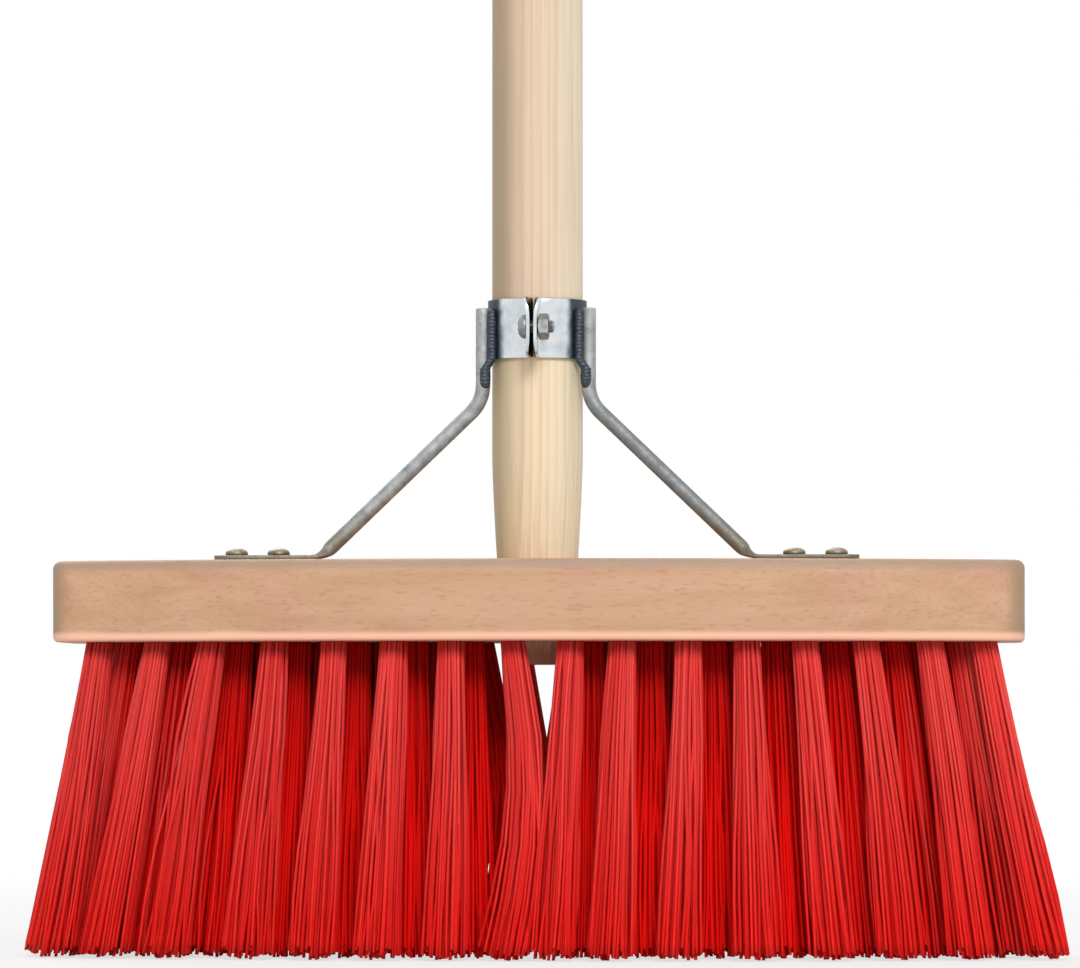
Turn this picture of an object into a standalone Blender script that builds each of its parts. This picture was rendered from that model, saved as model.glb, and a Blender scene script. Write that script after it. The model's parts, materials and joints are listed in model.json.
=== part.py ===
"""Half-round street broom.

A bowed beech block carries five rows of stiff red bristle tufts. A tapered
wooden handle stands in its middle, held by two round-bar brace arms that are
screwed to the block and meet in a bolted clamp strap round the handle.

Metres, +Z up. The bristle tips stand on z = 0, the handle's axis is x = y = 0,
and the bowed front of the block faces -Y.
"""

import math

import bmesh
import bpy
from mathutils import Matrix, Vector

# Clearance that every fitted or resting piece keeps to its neighbour
FIT_GAP = 0.0003
# How far a cutter runs past the face that it cuts
CUT_OVERRUN = 0.002
# Distance under which points made twice are one point
WELD_DISTANCE = 0.00001

# Block: a straight back, a bowed front and square ends
BLOCK_LENGTH = 0.300
BLOCK_END_DEPTH = 0.052
BLOCK_BOW = 0.028
BLOCK_BACK = 0.040
BLOCK_THICKNESS = 0.025
BLOCK_CORNER_RADIUS = 0.012
BLOCK_EDGE_RADIUS = 0.0025
# Recess in the underside that takes the tuft strips
POCKET_RIM = 0.0015
POCKET_DEPTH = 0.005
POCKET_CORNER_RADIUS = 0.004
HUB_WALL = 0.0035

# Bristles
BRISTLE_LENGTH = 0.097
TUFT_ROWS = 5
TUFT_PITCH = 0.018
TUFT_END_INSET = 0.015
TUFT_EDGE_INSET = 0.010
TUFT_HOLE_RADIUS = 0.0045
RING_STRANDS = 5
STRAND_SIDES = 3
STRANDS_ACROSS = 3
STRAND_ROOT_GAP = 0.0006
STRAND_TIP_GAP = 0.0005
STRAND_EMBED = 0.002
# How far a tuft's tip stands off the point under its root
END_LEAN = 0.017
CENTRE_LEAN = 0.001
ROW_SPLAY = 0.007

# Handle
HANDLE_RADIUS = 0.014
HANDLE_LENGTH = 1.400
HANDLE_PROTRUSION = 0.007
HANDLE_TIP_RADIUS = 0.0103
HANDLE_TIP_BEVEL = 0.001
HANDLE_DOME_HEIGHT = 0.010
TAPER_LENGTH = 0.064
TAPER_CURVE = 1.3

# Clamp strap
STRAP_THICKNESS = 0.001
STRAP_HEIGHT = 0.0184
STRAP_RISE = 0.062
STRAP_BEND_RADIUS = 0.0015
EAR_GAP = 0.0012
EAR_MARGIN = 0.0043
EAR_CORNER_RADIUS = 0.004

# Brace arms: round bar, bent outwards at a knee and flattened to a foot
ROD_RADIUS = 0.00225
# Degrees that the bars stand forward of the handle's sides, round its axis
ROD_FORWARD = 24
ROD_END_DROP = 0.0026
ROD_END_BEVEL = 0.0005
KNEE_DROP = 0.0129
KNEE_RADIUS = 0.012
FOOT_START = 0.0665
FOOT_END_MARGIN = 0.007
FOOT_BEND_RADIUS = 0.008
FOOT_THICKNESS = 0.0014
FOOT_WIDTH = 0.011
# The bar is squeezed to this share of its height over the block as it comes down
SQUEEZE_SHARE = 0.7
# Exponents of the bar's section where it is round and where it is flattened
ROUND_POWER = 2
FLAT_POWER = 8

# Clamp bolt and nut
BOLT_RADIUS = 0.002
NUT_CLEARANCE = 0.0017
BOLT_HEAD_RADIUS = 0.0037
BOLT_HEAD_HEIGHT = 0.0026
BOLT_TAIL = 0.0015
BOLT_TIP_BEVEL = 0.0004
NUT_ACROSS_FLATS = 0.007
NUT_THICKNESS = 0.0032
NUT_CHAMFER = 0.0004
NUT_SIDES = 6

# Wood screws
SCREW_RADIUS = 0.00175
SCREW_LENGTH = 0.012
SCREW_POINT = 0.004
SCREW_HEAD_RADIUS = 0.0035
SCREW_HEAD_HEIGHT = 0.0019
SCREW_INSET = 0.013
SCREW_SPACING = 0.013

# Cross recess of the screws and the bolt
RECESS_LENGTH = 0.0038
RECESS_WIDTH = 0.0009
RECESS_DEPTH = 0.0009

# Steps round a circle or along a curve
HANDLE_SIDES = 32
SMALL_SIDES = 20
ROD_SIDES = 12
FRONT_STEPS = 24
CORNER_STEPS = 5
BEND_STEPS = 5
STRAP_STEPS = 36
TAPER_STEPS = 10
DOME_STEPS = 6
ROW_STEPS = 8
EDGE_STEPS = 2
# Turns between faces, in degrees: flat below the first, an edge above the second
FLAT_ANGLE = 1
SHARP_ANGLE = 40

# Heights and places that follow from the sizes above
BLOCK_UNDERSIDE = BRISTLE_LENGTH
BLOCK_TOP = BLOCK_UNDERSIDE + BLOCK_THICKNESS
BLOCK_FRONT = BLOCK_BACK - BLOCK_END_DEPTH - BLOCK_BOW
HANDLE_TIP = BLOCK_UNDERSIDE - HANDLE_PROTRUSION
HANDLE_TOP = HANDLE_TIP + HANDLE_LENGTH
STRAP_INNER = HANDLE_RADIUS + FIT_GAP
STRAP_OUTER = STRAP_INNER + STRAP_THICKNESS
STRAP_LOW = BLOCK_TOP + STRAP_RISE
STRAP_MIDDLE = STRAP_LOW + STRAP_HEIGHT / 2
EAR_OUTER = EAR_GAP / 2 + STRAP_THICKNESS
NUT_CORNER = NUT_ACROSS_FLATS / math.sqrt(3)
BOLT_Y = -(STRAP_OUTER + STRAP_BEND_RADIUS + NUT_CLEARANCE + NUT_CORNER)
EAR_TIP = BOLT_Y - EAR_MARGIN
ROD_REACH = STRAP_OUTER + FIT_GAP + ROD_RADIUS
ROD_X = ROD_REACH * math.cos(math.radians(ROD_FORWARD))
ARM_Y = -ROD_REACH * math.sin(math.radians(ROD_FORWARD))
ROD_TOP = STRAP_LOW + STRAP_HEIGHT - ROD_END_DROP
KNEE = STRAP_LOW - KNEE_DROP
SCREW_FIRST = FOOT_START + SCREW_INSET
FOOT_END = SCREW_FIRST + SCREW_SPACING + FOOT_END_MARGIN
FOOT_LOW = BLOCK_TOP + FIT_GAP
FOOT_MIDDLE = FOOT_LOW + FOOT_THICKNESS / 2
SCREW_SEAT = FOOT_LOW + FOOT_THICKNESS + FIT_GAP
NUT_START = EAR_OUTER + FIT_GAP
POCKET_INSET = TUFT_EDGE_INSET - TUFT_HOLE_RADIUS - POCKET_RIM
STRAND_RADIUS = (TUFT_HOLE_RADIUS - STRAND_ROOT_GAP) / STRANDS_ACROSS
ROOT_RING = 2 * STRAND_RADIUS + STRAND_ROOT_GAP


def clear_scene():
    for old in list(bpy.data.objects):
        bpy.data.objects.remove(old, do_unlink=True)


def new_collection(name):
    collection = bpy.data.collections.new(name)
    bpy.context.scene.collection.children.link(collection)
    return collection


def plain_material(name, colour, roughness, metallic=0.0):
    material = bpy.data.materials.new(name)
    material.use_nodes = True
    shader = material.node_tree.nodes["Principled BSDF"]
    shader.inputs["Base Color"].default_value = (*colour, 1.0)
    shader.inputs["Roughness"].default_value = roughness
    shader.inputs["Metallic"].default_value = metallic
    material.diffuse_color = (*colour, 1.0)
    return material


def beech():
    return plain_material("block_beech", (0.64, 0.38, 0.22), 0.6)


def handle_wood():
    return plain_material("handle_wood", (0.78, 0.60, 0.38), 0.5)


def red_bristle():
    return plain_material("red_bristle", (0.60, 0.02, 0.015), 0.4)


def zinc_plate():
    return plain_material("zinc_plate", (0.62, 0.65, 0.68), 0.35, 1.0)


def add_object(name, mesh, collection, material=None):
    made = bpy.data.objects.new(name, mesh)
    collection.objects.link(made)
    if material:
        mesh.materials.append(material)
    return made


def mesh_from(bm, name):
    """Turns a bmesh into a mesh with its faces pointing out."""
    bmesh.ops.recalc_face_normals(bm, faces=bm.faces)
    mesh = bpy.data.meshes.new(name)
    bm.to_mesh(mesh)
    bm.free()
    return mesh


def shade_round(made):
    made.data.shade_smooth()
    made.data.set_sharp_from_angle(angle=math.radians(SHARP_ANGLE))


def shade_turned(made):
    """Smooth shading for a shape that a modifier turns."""
    made.modifiers["turned"].use_smooth_shade = True


def boolean(target, other, operation):
    step = target.modifiers.new(operation.lower() + "_" + other.name, "BOOLEAN")
    step.operation = operation
    step.object = other


def as_cutter(made):
    made.hide_render = True
    made.display_type = "WIRE"
    return made


def arc(centre, radius, start, end, steps):
    """Points on an arc in the plane, from one angle to another, ends included."""
    points = []
    for step in range(steps + 1):
        angle = start + (end - start) * step / steps
        points.append((centre[0] + radius * math.cos(angle), centre[1] + radius * math.sin(angle)))
    return points


def rounded_path(corners, radii, steps):
    """Straight runs through the corners, with each inner corner rounded."""
    points = [corners[0]]
    for before, corner, after, radius in zip(corners, corners[1:], corners[2:], radii):
        back = (before - corner).normalized()
        ahead = (after - corner).normalized()
        half = back.angle(ahead) / 2
        centre = corner + (back + ahead).normalized() * (radius / math.sin(half))
        first = corner + back * (radius / math.tan(half)) - centre
        last = corner + ahead * (radius / math.tan(half)) - centre
        sweep = first.angle(last)
        axis = first.cross(last)
        for step in range(steps + 1):
            points.append(centre + Matrix.Rotation(sweep * step / steps, 3, axis) @ first)
    points.append(corners[-1])
    return points


def plate(name, outline, low, high, collection, material=None):
    """A flat plate of the given outline between two heights."""
    curve = bpy.data.curves.new(name + "_outline", "CURVE")
    curve.dimensions = "2D"
    curve.fill_mode = "BOTH"
    curve.extrude = (high - low) / 2
    spline = curve.splines.new("POLY")
    spline.points.add(len(outline) - 1)
    for point, place in zip(spline.points, outline):
        point.co = (place[0], place[1], 0, 1)
    spline.use_cyclic_u = True
    drawn = bpy.data.objects.new(name + "_outline", curve)
    drawn.location.z = (low + high) / 2
    collection.objects.link(drawn)
    bpy.context.view_layer.update()
    seen = drawn.evaluated_get(bpy.context.evaluated_depsgraph_get())
    flat = bpy.data.meshes.new_from_object(seen)
    bm = bmesh.new()
    bm.from_mesh(flat)
    bmesh.ops.remove_doubles(bm, verts=bm.verts, dist=WELD_DISTANCE)
    bmesh.ops.dissolve_limit(
        bm, angle_limit=math.radians(FLAT_ANGLE), verts=bm.verts, edges=bm.edges, delimit={"NORMAL"}
    )
    made = add_object(name, mesh_from(bm, name), collection, material)
    made.matrix_world = drawn.matrix_world.copy()
    bpy.data.objects.remove(drawn, do_unlink=True)
    bpy.data.curves.remove(curve)
    bpy.data.meshes.remove(flat)
    return made


def turned(name, profile, sides, collection, material=None):
    """A turned solid from (radius, height) points, listed from top to bottom."""
    bm = bmesh.new()
    ring = [bm.verts.new((radius, 0, height)) for radius, height in profile]
    for upper, lower in zip(ring, ring[1:]):
        bm.edges.new((upper, lower))
    mesh = bpy.data.meshes.new(name)
    bm.to_mesh(mesh)
    bm.free()
    made = add_object(name, mesh, collection, material)
    screw = made.modifiers.new("turned", "SCREW")
    screw.steps = sides
    screw.render_steps = sides
    screw.use_merge_vertices = True
    screw.merge_threshold = WELD_DISTANCE
    screw.use_smooth_shade = False
    return made


def rod_cutter(name, radius, low, high, collection):
    """A plain round cutter along Z."""
    profile = [(0, high), (radius, high), (radius, low), (0, low)]
    return as_cutter(turned(name, profile, SMALL_SIDES, collection))


def dome(radius, base, height, steps):
    """Profile points of a rounded end, from its top to its rim."""
    points = []
    for step in range(steps + 1):
        angle = math.pi / 2 * step / steps
        points.append((radius * math.sin(angle), base + height * math.cos(angle)))
    return points


def front_circle():
    """Radius and centre height of the circle that the bowed front lies on."""
    half = BLOCK_LENGTH / 2
    radius = (half**2 + BLOCK_BOW**2) / (2 * BLOCK_BOW)
    return radius, BLOCK_FRONT + radius


def block_outline(inset, corner):
    """The block's plan, drawn in by an inset, with round corners."""
    radius, centre_y = front_circle()
    side = BLOCK_LENGTH / 2 - inset
    back = BLOCK_BACK - inset
    front = radius - inset
    corner_x = side - corner
    corner_y = centre_y - math.sqrt((front - corner) ** 2 - corner_x**2)
    turn = math.atan2(corner_y - centre_y, corner_x)
    runs = [
        arc((0, centre_y), front, -math.pi - turn, turn, FRONT_STEPS),
        arc((corner_x, corner_y), corner, turn, 0, CORNER_STEPS),
        arc((corner_x, back - corner), corner, 0, math.pi / 2, CORNER_STEPS),
        arc((-corner_x, back - corner), corner, math.pi / 2, math.pi, CORNER_STEPS),
        arc((-corner_x, corner_y), corner, math.pi, math.pi - turn, CORNER_STEPS),
    ]
    # The front shares its two end points with the corners beside it
    outline = runs[0][:-1]
    for run in runs[1:]:
        outline += run
    return outline[:-1]


def row_y(row, x):
    """Place of a tuft row at x: rows run evenly from the bowed front to the back."""
    radius, centre_y = front_circle()
    front = centre_y - math.sqrt((radius - TUFT_EDGE_INSET) ** 2 - x**2)
    back = BLOCK_BACK - TUFT_EDGE_INSET
    return front + (back - front) * row / (TUFT_ROWS - 1)


def handle_radius(height):
    """The handle's radius at a height: full above its taper, slimmer towards its tip."""
    share = min(max((height - HANDLE_TIP) / TAPER_LENGTH, 0), 1)
    return HANDLE_TIP_RADIUS + (HANDLE_RADIUS - HANDLE_TIP_RADIUS) * (1 - (1 - share) ** TAPER_CURVE)


def hub_radius():
    """Radius of the wood left round the handle's socket in the underside."""
    return handle_radius(BLOCK_UNDERSIDE) + FIT_GAP + HUB_WALL


def tuft_places(row, side):
    """Roots of a row's tufts on one side, clear of the wood round the handle."""
    last = BLOCK_LENGTH / 2 - TUFT_END_INSET
    shift = TUFT_PITCH / 2 if row % 2 == 0 else TUFT_PITCH
    clear = hub_radius() + FIT_GAP + POCKET_RIM + TUFT_HOLE_RADIUS
    places = []
    for step in range(int(last / TUFT_PITCH) + 1):
        x = shift + step * TUFT_PITCH
        y = row_y(row, x)
        if x <= last + WELD_DISTANCE and math.hypot(x, y) >= clear:
            places.append(Vector((side * x, y, 0)))
    return places


def tuft_tip(row, root):
    """Point on the floor that a tuft fans out round: inwards at the middle, outwards at the ends."""
    side = math.copysign(1, root.x)
    share = abs(root.x) / (BLOCK_LENGTH / 2 - TUFT_END_INSET)
    lean = (END_LEAN + CENTRE_LEAN) * share**2 - CENTRE_LEAN
    middle = (TUFT_ROWS - 1) / 2
    return root + Vector((side * lean, ROW_SPLAY * (row - middle) / middle, 0))


def tip_ring():
    """Radius that a tuft's strands spread to, so that no two tufts meet."""
    tips = []
    for row in range(TUFT_ROWS):
        for side in (-1, 1):
            tips += [tuft_tip(row, root) for root in tuft_places(row, side)]
    nearest = min((a - b).length for i, a in enumerate(tips) for b in tips[:i])
    return (nearest - STRAND_TIP_GAP) / 2 - STRAND_RADIUS


def build_block(parts, cutters, material):
    block = plate(
        "block", block_outline(0, BLOCK_CORNER_RADIUS), BLOCK_UNDERSIDE, BLOCK_TOP, parts, material
    )
    round_top_edge(block)
    pocket = as_cutter(
        plate(
            "pocket_cutter",
            block_outline(POCKET_INSET, POCKET_CORNER_RADIUS),
            BLOCK_UNDERSIDE - CUT_OVERRUN,
            BLOCK_UNDERSIDE + POCKET_DEPTH,
            cutters,
        )
    )
    hub_low = BLOCK_UNDERSIDE - 2 * CUT_OVERRUN
    hub_high = BLOCK_UNDERSIDE + POCKET_DEPTH + CUT_OVERRUN
    boolean(pocket, rod_cutter("hub_cutter", hub_radius(), hub_low, hub_high, cutters), "DIFFERENCE")
    boolean(block, pocket, "DIFFERENCE")
    boolean(block, socket_cutter(cutters), "DIFFERENCE")
    return block


def round_top_edge(block):
    """Rounds the edge that runs round the block's top."""
    bm = bmesh.new()
    bm.from_mesh(block.data)
    weights = bm.edges.layers.float.new("bevel_weight_edge")
    top = max(vert.co.z for vert in bm.verts) - WELD_DISTANCE
    for edge in bm.edges:
        if edge.calc_face_angle(0) > math.radians(SHARP_ANGLE):
            if all(vert.co.z > top for vert in edge.verts):
                edge[weights] = 1.0
    bm.to_mesh(block.data)
    bm.free()
    bevel = block.modifiers.new("rounded_edge", "BEVEL")
    bevel.limit_method = "WEIGHT"
    bevel.width = BLOCK_EDGE_RADIUS
    bevel.segments = EDGE_STEPS


def taper_points(low, high, extra):
    """Profile points down the handle's taper between two heights."""
    points = []
    for step in range(TAPER_STEPS + 1):
        height = high + (low - high) * step / TAPER_STEPS
        points.append((handle_radius(height) + extra, height))
    return points


def socket_cutter(cutters):
    """The hole through the block, which follows the handle's taper."""
    low = BLOCK_UNDERSIDE - CUT_OVERRUN
    high = BLOCK_TOP + CUT_OVERRUN
    profile = [(0, high)] + taper_points(low, high, FIT_GAP) + [(0, low)]
    return as_cutter(turned("socket_cutter", profile, HANDLE_SIDES, cutters))


def build_handle(parts, material):
    profile = dome(HANDLE_RADIUS, HANDLE_TOP - HANDLE_DOME_HEIGHT, HANDLE_DOME_HEIGHT, DOME_STEPS)
    profile += taper_points(HANDLE_TIP + HANDLE_TIP_BEVEL, HANDLE_TIP + TAPER_LENGTH, 0)
    profile += [(HANDLE_TIP_RADIUS - HANDLE_TIP_BEVEL, HANDLE_TIP), (0, HANDLE_TIP)]
    handle = turned("handle", profile, HANDLE_SIDES, parts, material)
    shade_turned(handle)
    axis = bpy.data.objects.new("handle_slide_axis", None)
    parts.objects.link(axis)
    handle.parent = axis


def strip_band(row, side):
    """Outline of one tuft row's strip, halfway to the rows beside it."""
    start = FIT_GAP / 2
    end = BLOCK_LENGTH / 2
    front_share = -0.5 if row > 0 else -1
    back_share = 0.5 if row < TUFT_ROWS - 1 else 1
    front_gap = FIT_GAP / 2 if row > 0 else 0
    back_gap = FIT_GAP / 2 if row < TUFT_ROWS - 1 else 0
    front = []
    back = []
    for step in range(ROW_STEPS + 1):
        x = start + (end - start) * step / ROW_STEPS
        front.append((side * x, row_y(row + front_share, x) + front_gap))
        back.append((side * x, row_y(row + back_share, x) - back_gap))
    return front + back[::-1]


def build_strands(name, row, side, spread, cutters):
    """All strands of a row on one side: a prism each, sheared from root to tip."""
    top = BLOCK_UNDERSIDE + STRAND_EMBED
    facing = -1 if row < TUFT_ROWS // 2 else 1
    bm = bmesh.new()
    for root in tuft_places(row, side):
        tip = tuft_tip(row, root)
        for number in range(RING_STRANDS + 1):
            step = 2 * math.pi * number / RING_STRANDS
            ring = Vector((side * math.sin(step), facing * math.cos(step), 0))
            turn = math.atan2(-ring.x, ring.y)
            if number == RING_STRANDS:
                ring = Vector()
            made = bmesh.ops.create_cone(
                bm,
                cap_ends=True,
                segments=STRAND_SIDES,
                radius1=STRAND_RADIUS,
                radius2=STRAND_RADIUS,
                depth=top,
                matrix=Matrix.Translation((0, 0, top / 2)) @ Matrix.Rotation(turn, 4, "Z"),
            )
            foot = tip + ring * spread
            head = root + ring * ROOT_RING
            slope = (head - foot) / BLOCK_UNDERSIDE
            for vert in made["verts"]:
                vert.co += foot + slope * vert.co.z
    return as_cutter(add_object(name, mesh_from(bm, name), cutters))


def build_tuft_rows(parts, cutters, material):
    """Each row has a strip on each side of the handle, with its strands fused to it."""
    spread = tip_ring()
    trim = as_cutter(
        plate(
            "strip_trim",
            block_outline(POCKET_INSET + FIT_GAP, POCKET_CORNER_RADIUS),
            BLOCK_UNDERSIDE - CUT_OVERRUN,
            BLOCK_TOP,
            cutters,
        )
    )
    hub_low = BLOCK_UNDERSIDE - CUT_OVERRUN
    hub = rod_cutter("strip_hub", hub_radius() + FIT_GAP, hub_low, BLOCK_TOP, cutters)
    for row in range(TUFT_ROWS):
        for side, word in ((-1, "left"), (1, "right")):
            name = f"tuft_row_{row + 1}_{word}"
            strip = plate(
                name,
                strip_band(row, side),
                BLOCK_UNDERSIDE,
                BLOCK_UNDERSIDE + POCKET_DEPTH - FIT_GAP,
                parts,
                material,
            )
            boolean(strip, trim, "INTERSECT")
            boolean(strip, hub, "DIFFERENCE")
            strands = build_strands(name + "_strands", row, side, spread, cutters)
            boolean(strip, strands, "UNION")


def arm_section(point):
    """Half width and half height of the bar at a point of its path, and how flat it is."""
    room = (point.z - FOOT_LOW) * SQUEEZE_SHARE
    high = max(min(ROD_RADIUS, room), FOOT_THICKNESS / 2)
    flat = (ROD_RADIUS - high) / (ROD_RADIUS - FOOT_THICKNESS / 2)
    wide = ROD_RADIUS + (FOOT_WIDTH / 2 - ROD_RADIUS) * flat
    to_end = FOOT_END - abs(point.x)
    if to_end < FOOT_WIDTH / 2:
        wide *= math.sqrt(1 - (1 - 2 * to_end / FOOT_WIDTH) ** 2)
    return wide, high, flat


def arm_path(side):
    """Middle line of one brace arm, from its top end to the end of its foot."""
    corners = [
        Vector((side * ROD_X, ARM_Y, ROD_TOP)),
        Vector((side * ROD_X, ARM_Y, KNEE)),
        Vector((side * FOOT_START, ARM_Y, FOOT_MIDDLE)),
        Vector((side * FOOT_END, ARM_Y, FOOT_MIDDLE)),
    ]
    path = rounded_path(corners, [KNEE_RADIUS, FOOT_BEND_RADIUS], BEND_STEPS)
    path.insert(1, path[0] - Vector((0, 0, ROD_END_BEVEL)))
    return path[:-1] + foot_end_points(side)


def foot_end_points(side):
    """Points along the last stretch of a foot, which is rounded in plan."""
    points = []
    for step in range(CORNER_STEPS + 1):
        share = (1 - step / (CORNER_STEPS + 1)) ** 2
        points.append(Vector((side * (FOOT_END - share * FOOT_WIDTH / 2), ARM_Y, FOOT_MIDDLE)))
    return points


def section_ring(bm, point, ahead, wide, high, flat):
    """One closed ring of the bar's section, between a circle and a rounded oblong."""
    across = Vector((0, 1, 0))
    up = ahead.cross(across).normalized()
    power = 2 / (ROUND_POWER + (FLAT_POWER - ROUND_POWER) * flat)
    ring = []
    for step in range(ROD_SIDES):
        angle = 2 * math.pi * (step + 0.5) / ROD_SIDES
        out = math.copysign(abs(math.cos(angle)) ** power, math.cos(angle)) * wide
        rise = math.copysign(abs(math.sin(angle)) ** power, math.sin(angle)) * high
        ring.append(bm.verts.new(point + across * out + up * rise))
    return ring


def build_arm(side, word, parts, cutters, material):
    path = arm_path(side)
    bm = bmesh.new()
    rings = []
    for number, point in enumerate(path):
        before = path[max(number - 1, 0)]
        after = path[min(number + 1, len(path) - 1)]
        ahead = (after - before).normalized()
        wide, high, flat = arm_section(point)
        if number == 0:
            wide -= ROD_END_BEVEL
            high -= ROD_END_BEVEL
        rings.append(section_ring(bm, point, ahead, wide, high, flat))
    for ring, following in zip(rings, rings[1:]):
        for step in range(ROD_SIDES):
            ahead = (step + 1) % ROD_SIDES
            bm.faces.new((ring[step], ring[ahead], following[ahead], following[step]))
    bm.faces.new(rings[0])
    bm.faces.new(rings[-1][::-1])
    arm = add_object(f"brace_arm_{word}", mesh_from(bm, f"brace_arm_{word}"), parts, material)
    shade_round(arm)
    for number, x in enumerate(screw_places(side)):
        hole = rod_cutter(
            f"foot_hole_{word}_{number + 1}",
            SCREW_RADIUS + FIT_GAP,
            FOOT_LOW - CUT_OVERRUN,
            SCREW_SEAT + CUT_OVERRUN,
            cutters,
        )
        hole.location = (x, ARM_Y, 0)
        boolean(arm, hole, "DIFFERENCE")


def screw_places(side):
    return [side * SCREW_FIRST, side * (SCREW_FIRST + SCREW_SPACING)]


def strap_path():
    """Middle line of the strap: along one ear, round the handle and out along the other."""
    line = EAR_GAP / 2 + STRAP_THICKNESS / 2
    round_radius = STRAP_INNER + STRAP_THICKNESS / 2
    bend = STRAP_BEND_RADIUS + STRAP_THICKNESS / 2
    bend_x = line + bend
    bend_y = -math.sqrt((round_radius + bend) ** 2 - bend_x**2)
    inner = math.atan2(-bend_y, -bend_x)
    outer = math.atan2(bend_y, bend_x)
    ear = []
    for step in range(CORNER_STEPS + 1):
        share = 1 - math.cos(math.pi / 2 * step / CORNER_STEPS)
        ear.append((line, EAR_TIP + share * EAR_CORNER_RADIUS))
    right = ear + arc((bend_x, bend_y), bend, math.pi, inner, BEND_STEPS)
    body = arc((0, 0), round_radius, outer, math.pi - outer, STRAP_STEPS)
    left = [(-x, y) for x, y in right[::-1]]
    return right + body[1:-1] + left


def strap_half_height(y):
    """Half the strap's height at y, less where the ears' corners are rounded."""
    out = EAR_CORNER_RADIUS - (y - EAR_TIP)
    if out <= 0:
        return STRAP_HEIGHT / 2
    return STRAP_HEIGHT / 2 - EAR_CORNER_RADIUS + math.sqrt(max(EAR_CORNER_RADIUS**2 - out**2, 0))


def build_strap(parts, cutters, material):
    bm = bmesh.new()
    lower = []
    for x, y in strap_path():
        lower.append(bm.verts.new((x, y, STRAP_MIDDLE - strap_half_height(y))))
    edges = [bm.edges.new(pair) for pair in zip(lower, lower[1:])]
    raised = bmesh.ops.extrude_edge_only(bm, edges=edges)["geom"]
    for vert in raised:
        if isinstance(vert, bmesh.types.BMVert):
            vert.co.z = STRAP_MIDDLE + strap_half_height(vert.co.y)
    strap = add_object("clamp_strap", mesh_from(bm, "clamp_strap"), parts, material)
    wall = strap.modifiers.new("wall", "SOLIDIFY")
    wall.thickness = STRAP_THICKNESS
    wall.offset = 0
    wall.use_even_offset = True
    hole_length = EAR_OUTER + CUT_OVERRUN
    hole = rod_cutter("ear_hole", BOLT_RADIUS + FIT_GAP, -hole_length, hole_length, cutters)
    hole.location = (0, BOLT_Y, STRAP_MIDDLE)
    hole.rotation_euler.y = math.pi / 2
    boolean(strap, hole, "DIFFERENCE")
    shade_round(strap)


def cross_recess(name, centre, turn, cutters):
    """Two crossed boxes that sink a cross recess into a head, along its own Z."""
    boxes = []
    for number, sides in enumerate(((RECESS_LENGTH, RECESS_WIDTH), (RECESS_WIDTH, RECESS_LENGTH))):
        bm = bmesh.new()
        bmesh.ops.create_cube(bm, size=1)
        bmesh.ops.scale(bm, vec=(*sides, 2 * RECESS_DEPTH), verts=bm.verts)
        made = add_object(f"{name}_{number + 1}", mesh_from(bm, f"{name}_{number + 1}"), cutters)
        made.location = centre
        made.rotation_euler.y = turn
        boxes.append(as_cutter(made))
    return boxes


def build_bolt(parts, cutters, material):
    """Pan-head bolt along X, with its head on the left ear and the nut on the right."""
    head_low = EAR_OUTER + FIT_GAP
    tail = -(NUT_START + NUT_THICKNESS + BOLT_TAIL)
    profile = dome(BOLT_HEAD_RADIUS, head_low, BOLT_HEAD_HEIGHT, DOME_STEPS)
    profile += [
        (BOLT_RADIUS, head_low),
        (BOLT_RADIUS, tail + BOLT_TIP_BEVEL),
        (BOLT_RADIUS - BOLT_TIP_BEVEL, tail),
        (0, tail),
    ]
    bolt = turned("clamp_bolt", profile, SMALL_SIDES, parts, material)
    shade_turned(bolt)
    bolt.location = (0, BOLT_Y, STRAP_MIDDLE)
    bolt.rotation_euler.y = -math.pi / 2
    face = Vector((-(head_low + BOLT_HEAD_HEIGHT), BOLT_Y, STRAP_MIDDLE))
    for box in cross_recess("bolt_recess", face, math.pi / 2, cutters):
        boolean(bolt, box, "DIFFERENCE")


def build_nut(parts, cutters, material):
    """Hexagon nut with chamfered corners, on an empty at its turning axis."""
    bm = bmesh.new()
    bmesh.ops.create_cone(
        bm,
        cap_ends=True,
        segments=NUT_SIDES,
        radius1=NUT_CORNER,
        radius2=NUT_CORNER,
        depth=NUT_THICKNESS,
    )
    nut = add_object("clamp_nut", mesh_from(bm, "clamp_nut"), parts, material)
    half = NUT_THICKNESS / 2
    flat = NUT_ACROSS_FLATS / 2
    reach = NUT_CORNER + FIT_GAP
    drop = NUT_CHAMFER * (reach - flat) / (NUT_CORNER - flat)
    above = [(0, half), (flat, half), (reach, half - drop)]
    profile = above + [(radius, -height) for radius, height in above[::-1]]
    lens = as_cutter(turned("nut_chamfer", profile, HANDLE_SIDES, cutters))
    bore = rod_cutter("nut_bore", BOLT_RADIUS + FIT_GAP, -NUT_THICKNESS, NUT_THICKNESS, cutters)
    axis = bpy.data.objects.new("nut_spin_axis", None)
    parts.objects.link(axis)
    axis.location = (NUT_START + half, BOLT_Y, STRAP_MIDDLE)
    axis.rotation_euler.y = math.pi / 2
    for made in (nut, lens, bore):
        made.parent = axis
    boolean(nut, lens, "INTERSECT")
    boolean(nut, bore, "DIFFERENCE")


def screw_end(extra):
    """Profile of a wood screw's pointed end, or of its hole with some clearance."""
    tip = SCREW_SEAT - SCREW_LENGTH
    return [(SCREW_RADIUS + extra, tip + SCREW_POINT), (0, tip - extra)]


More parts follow.
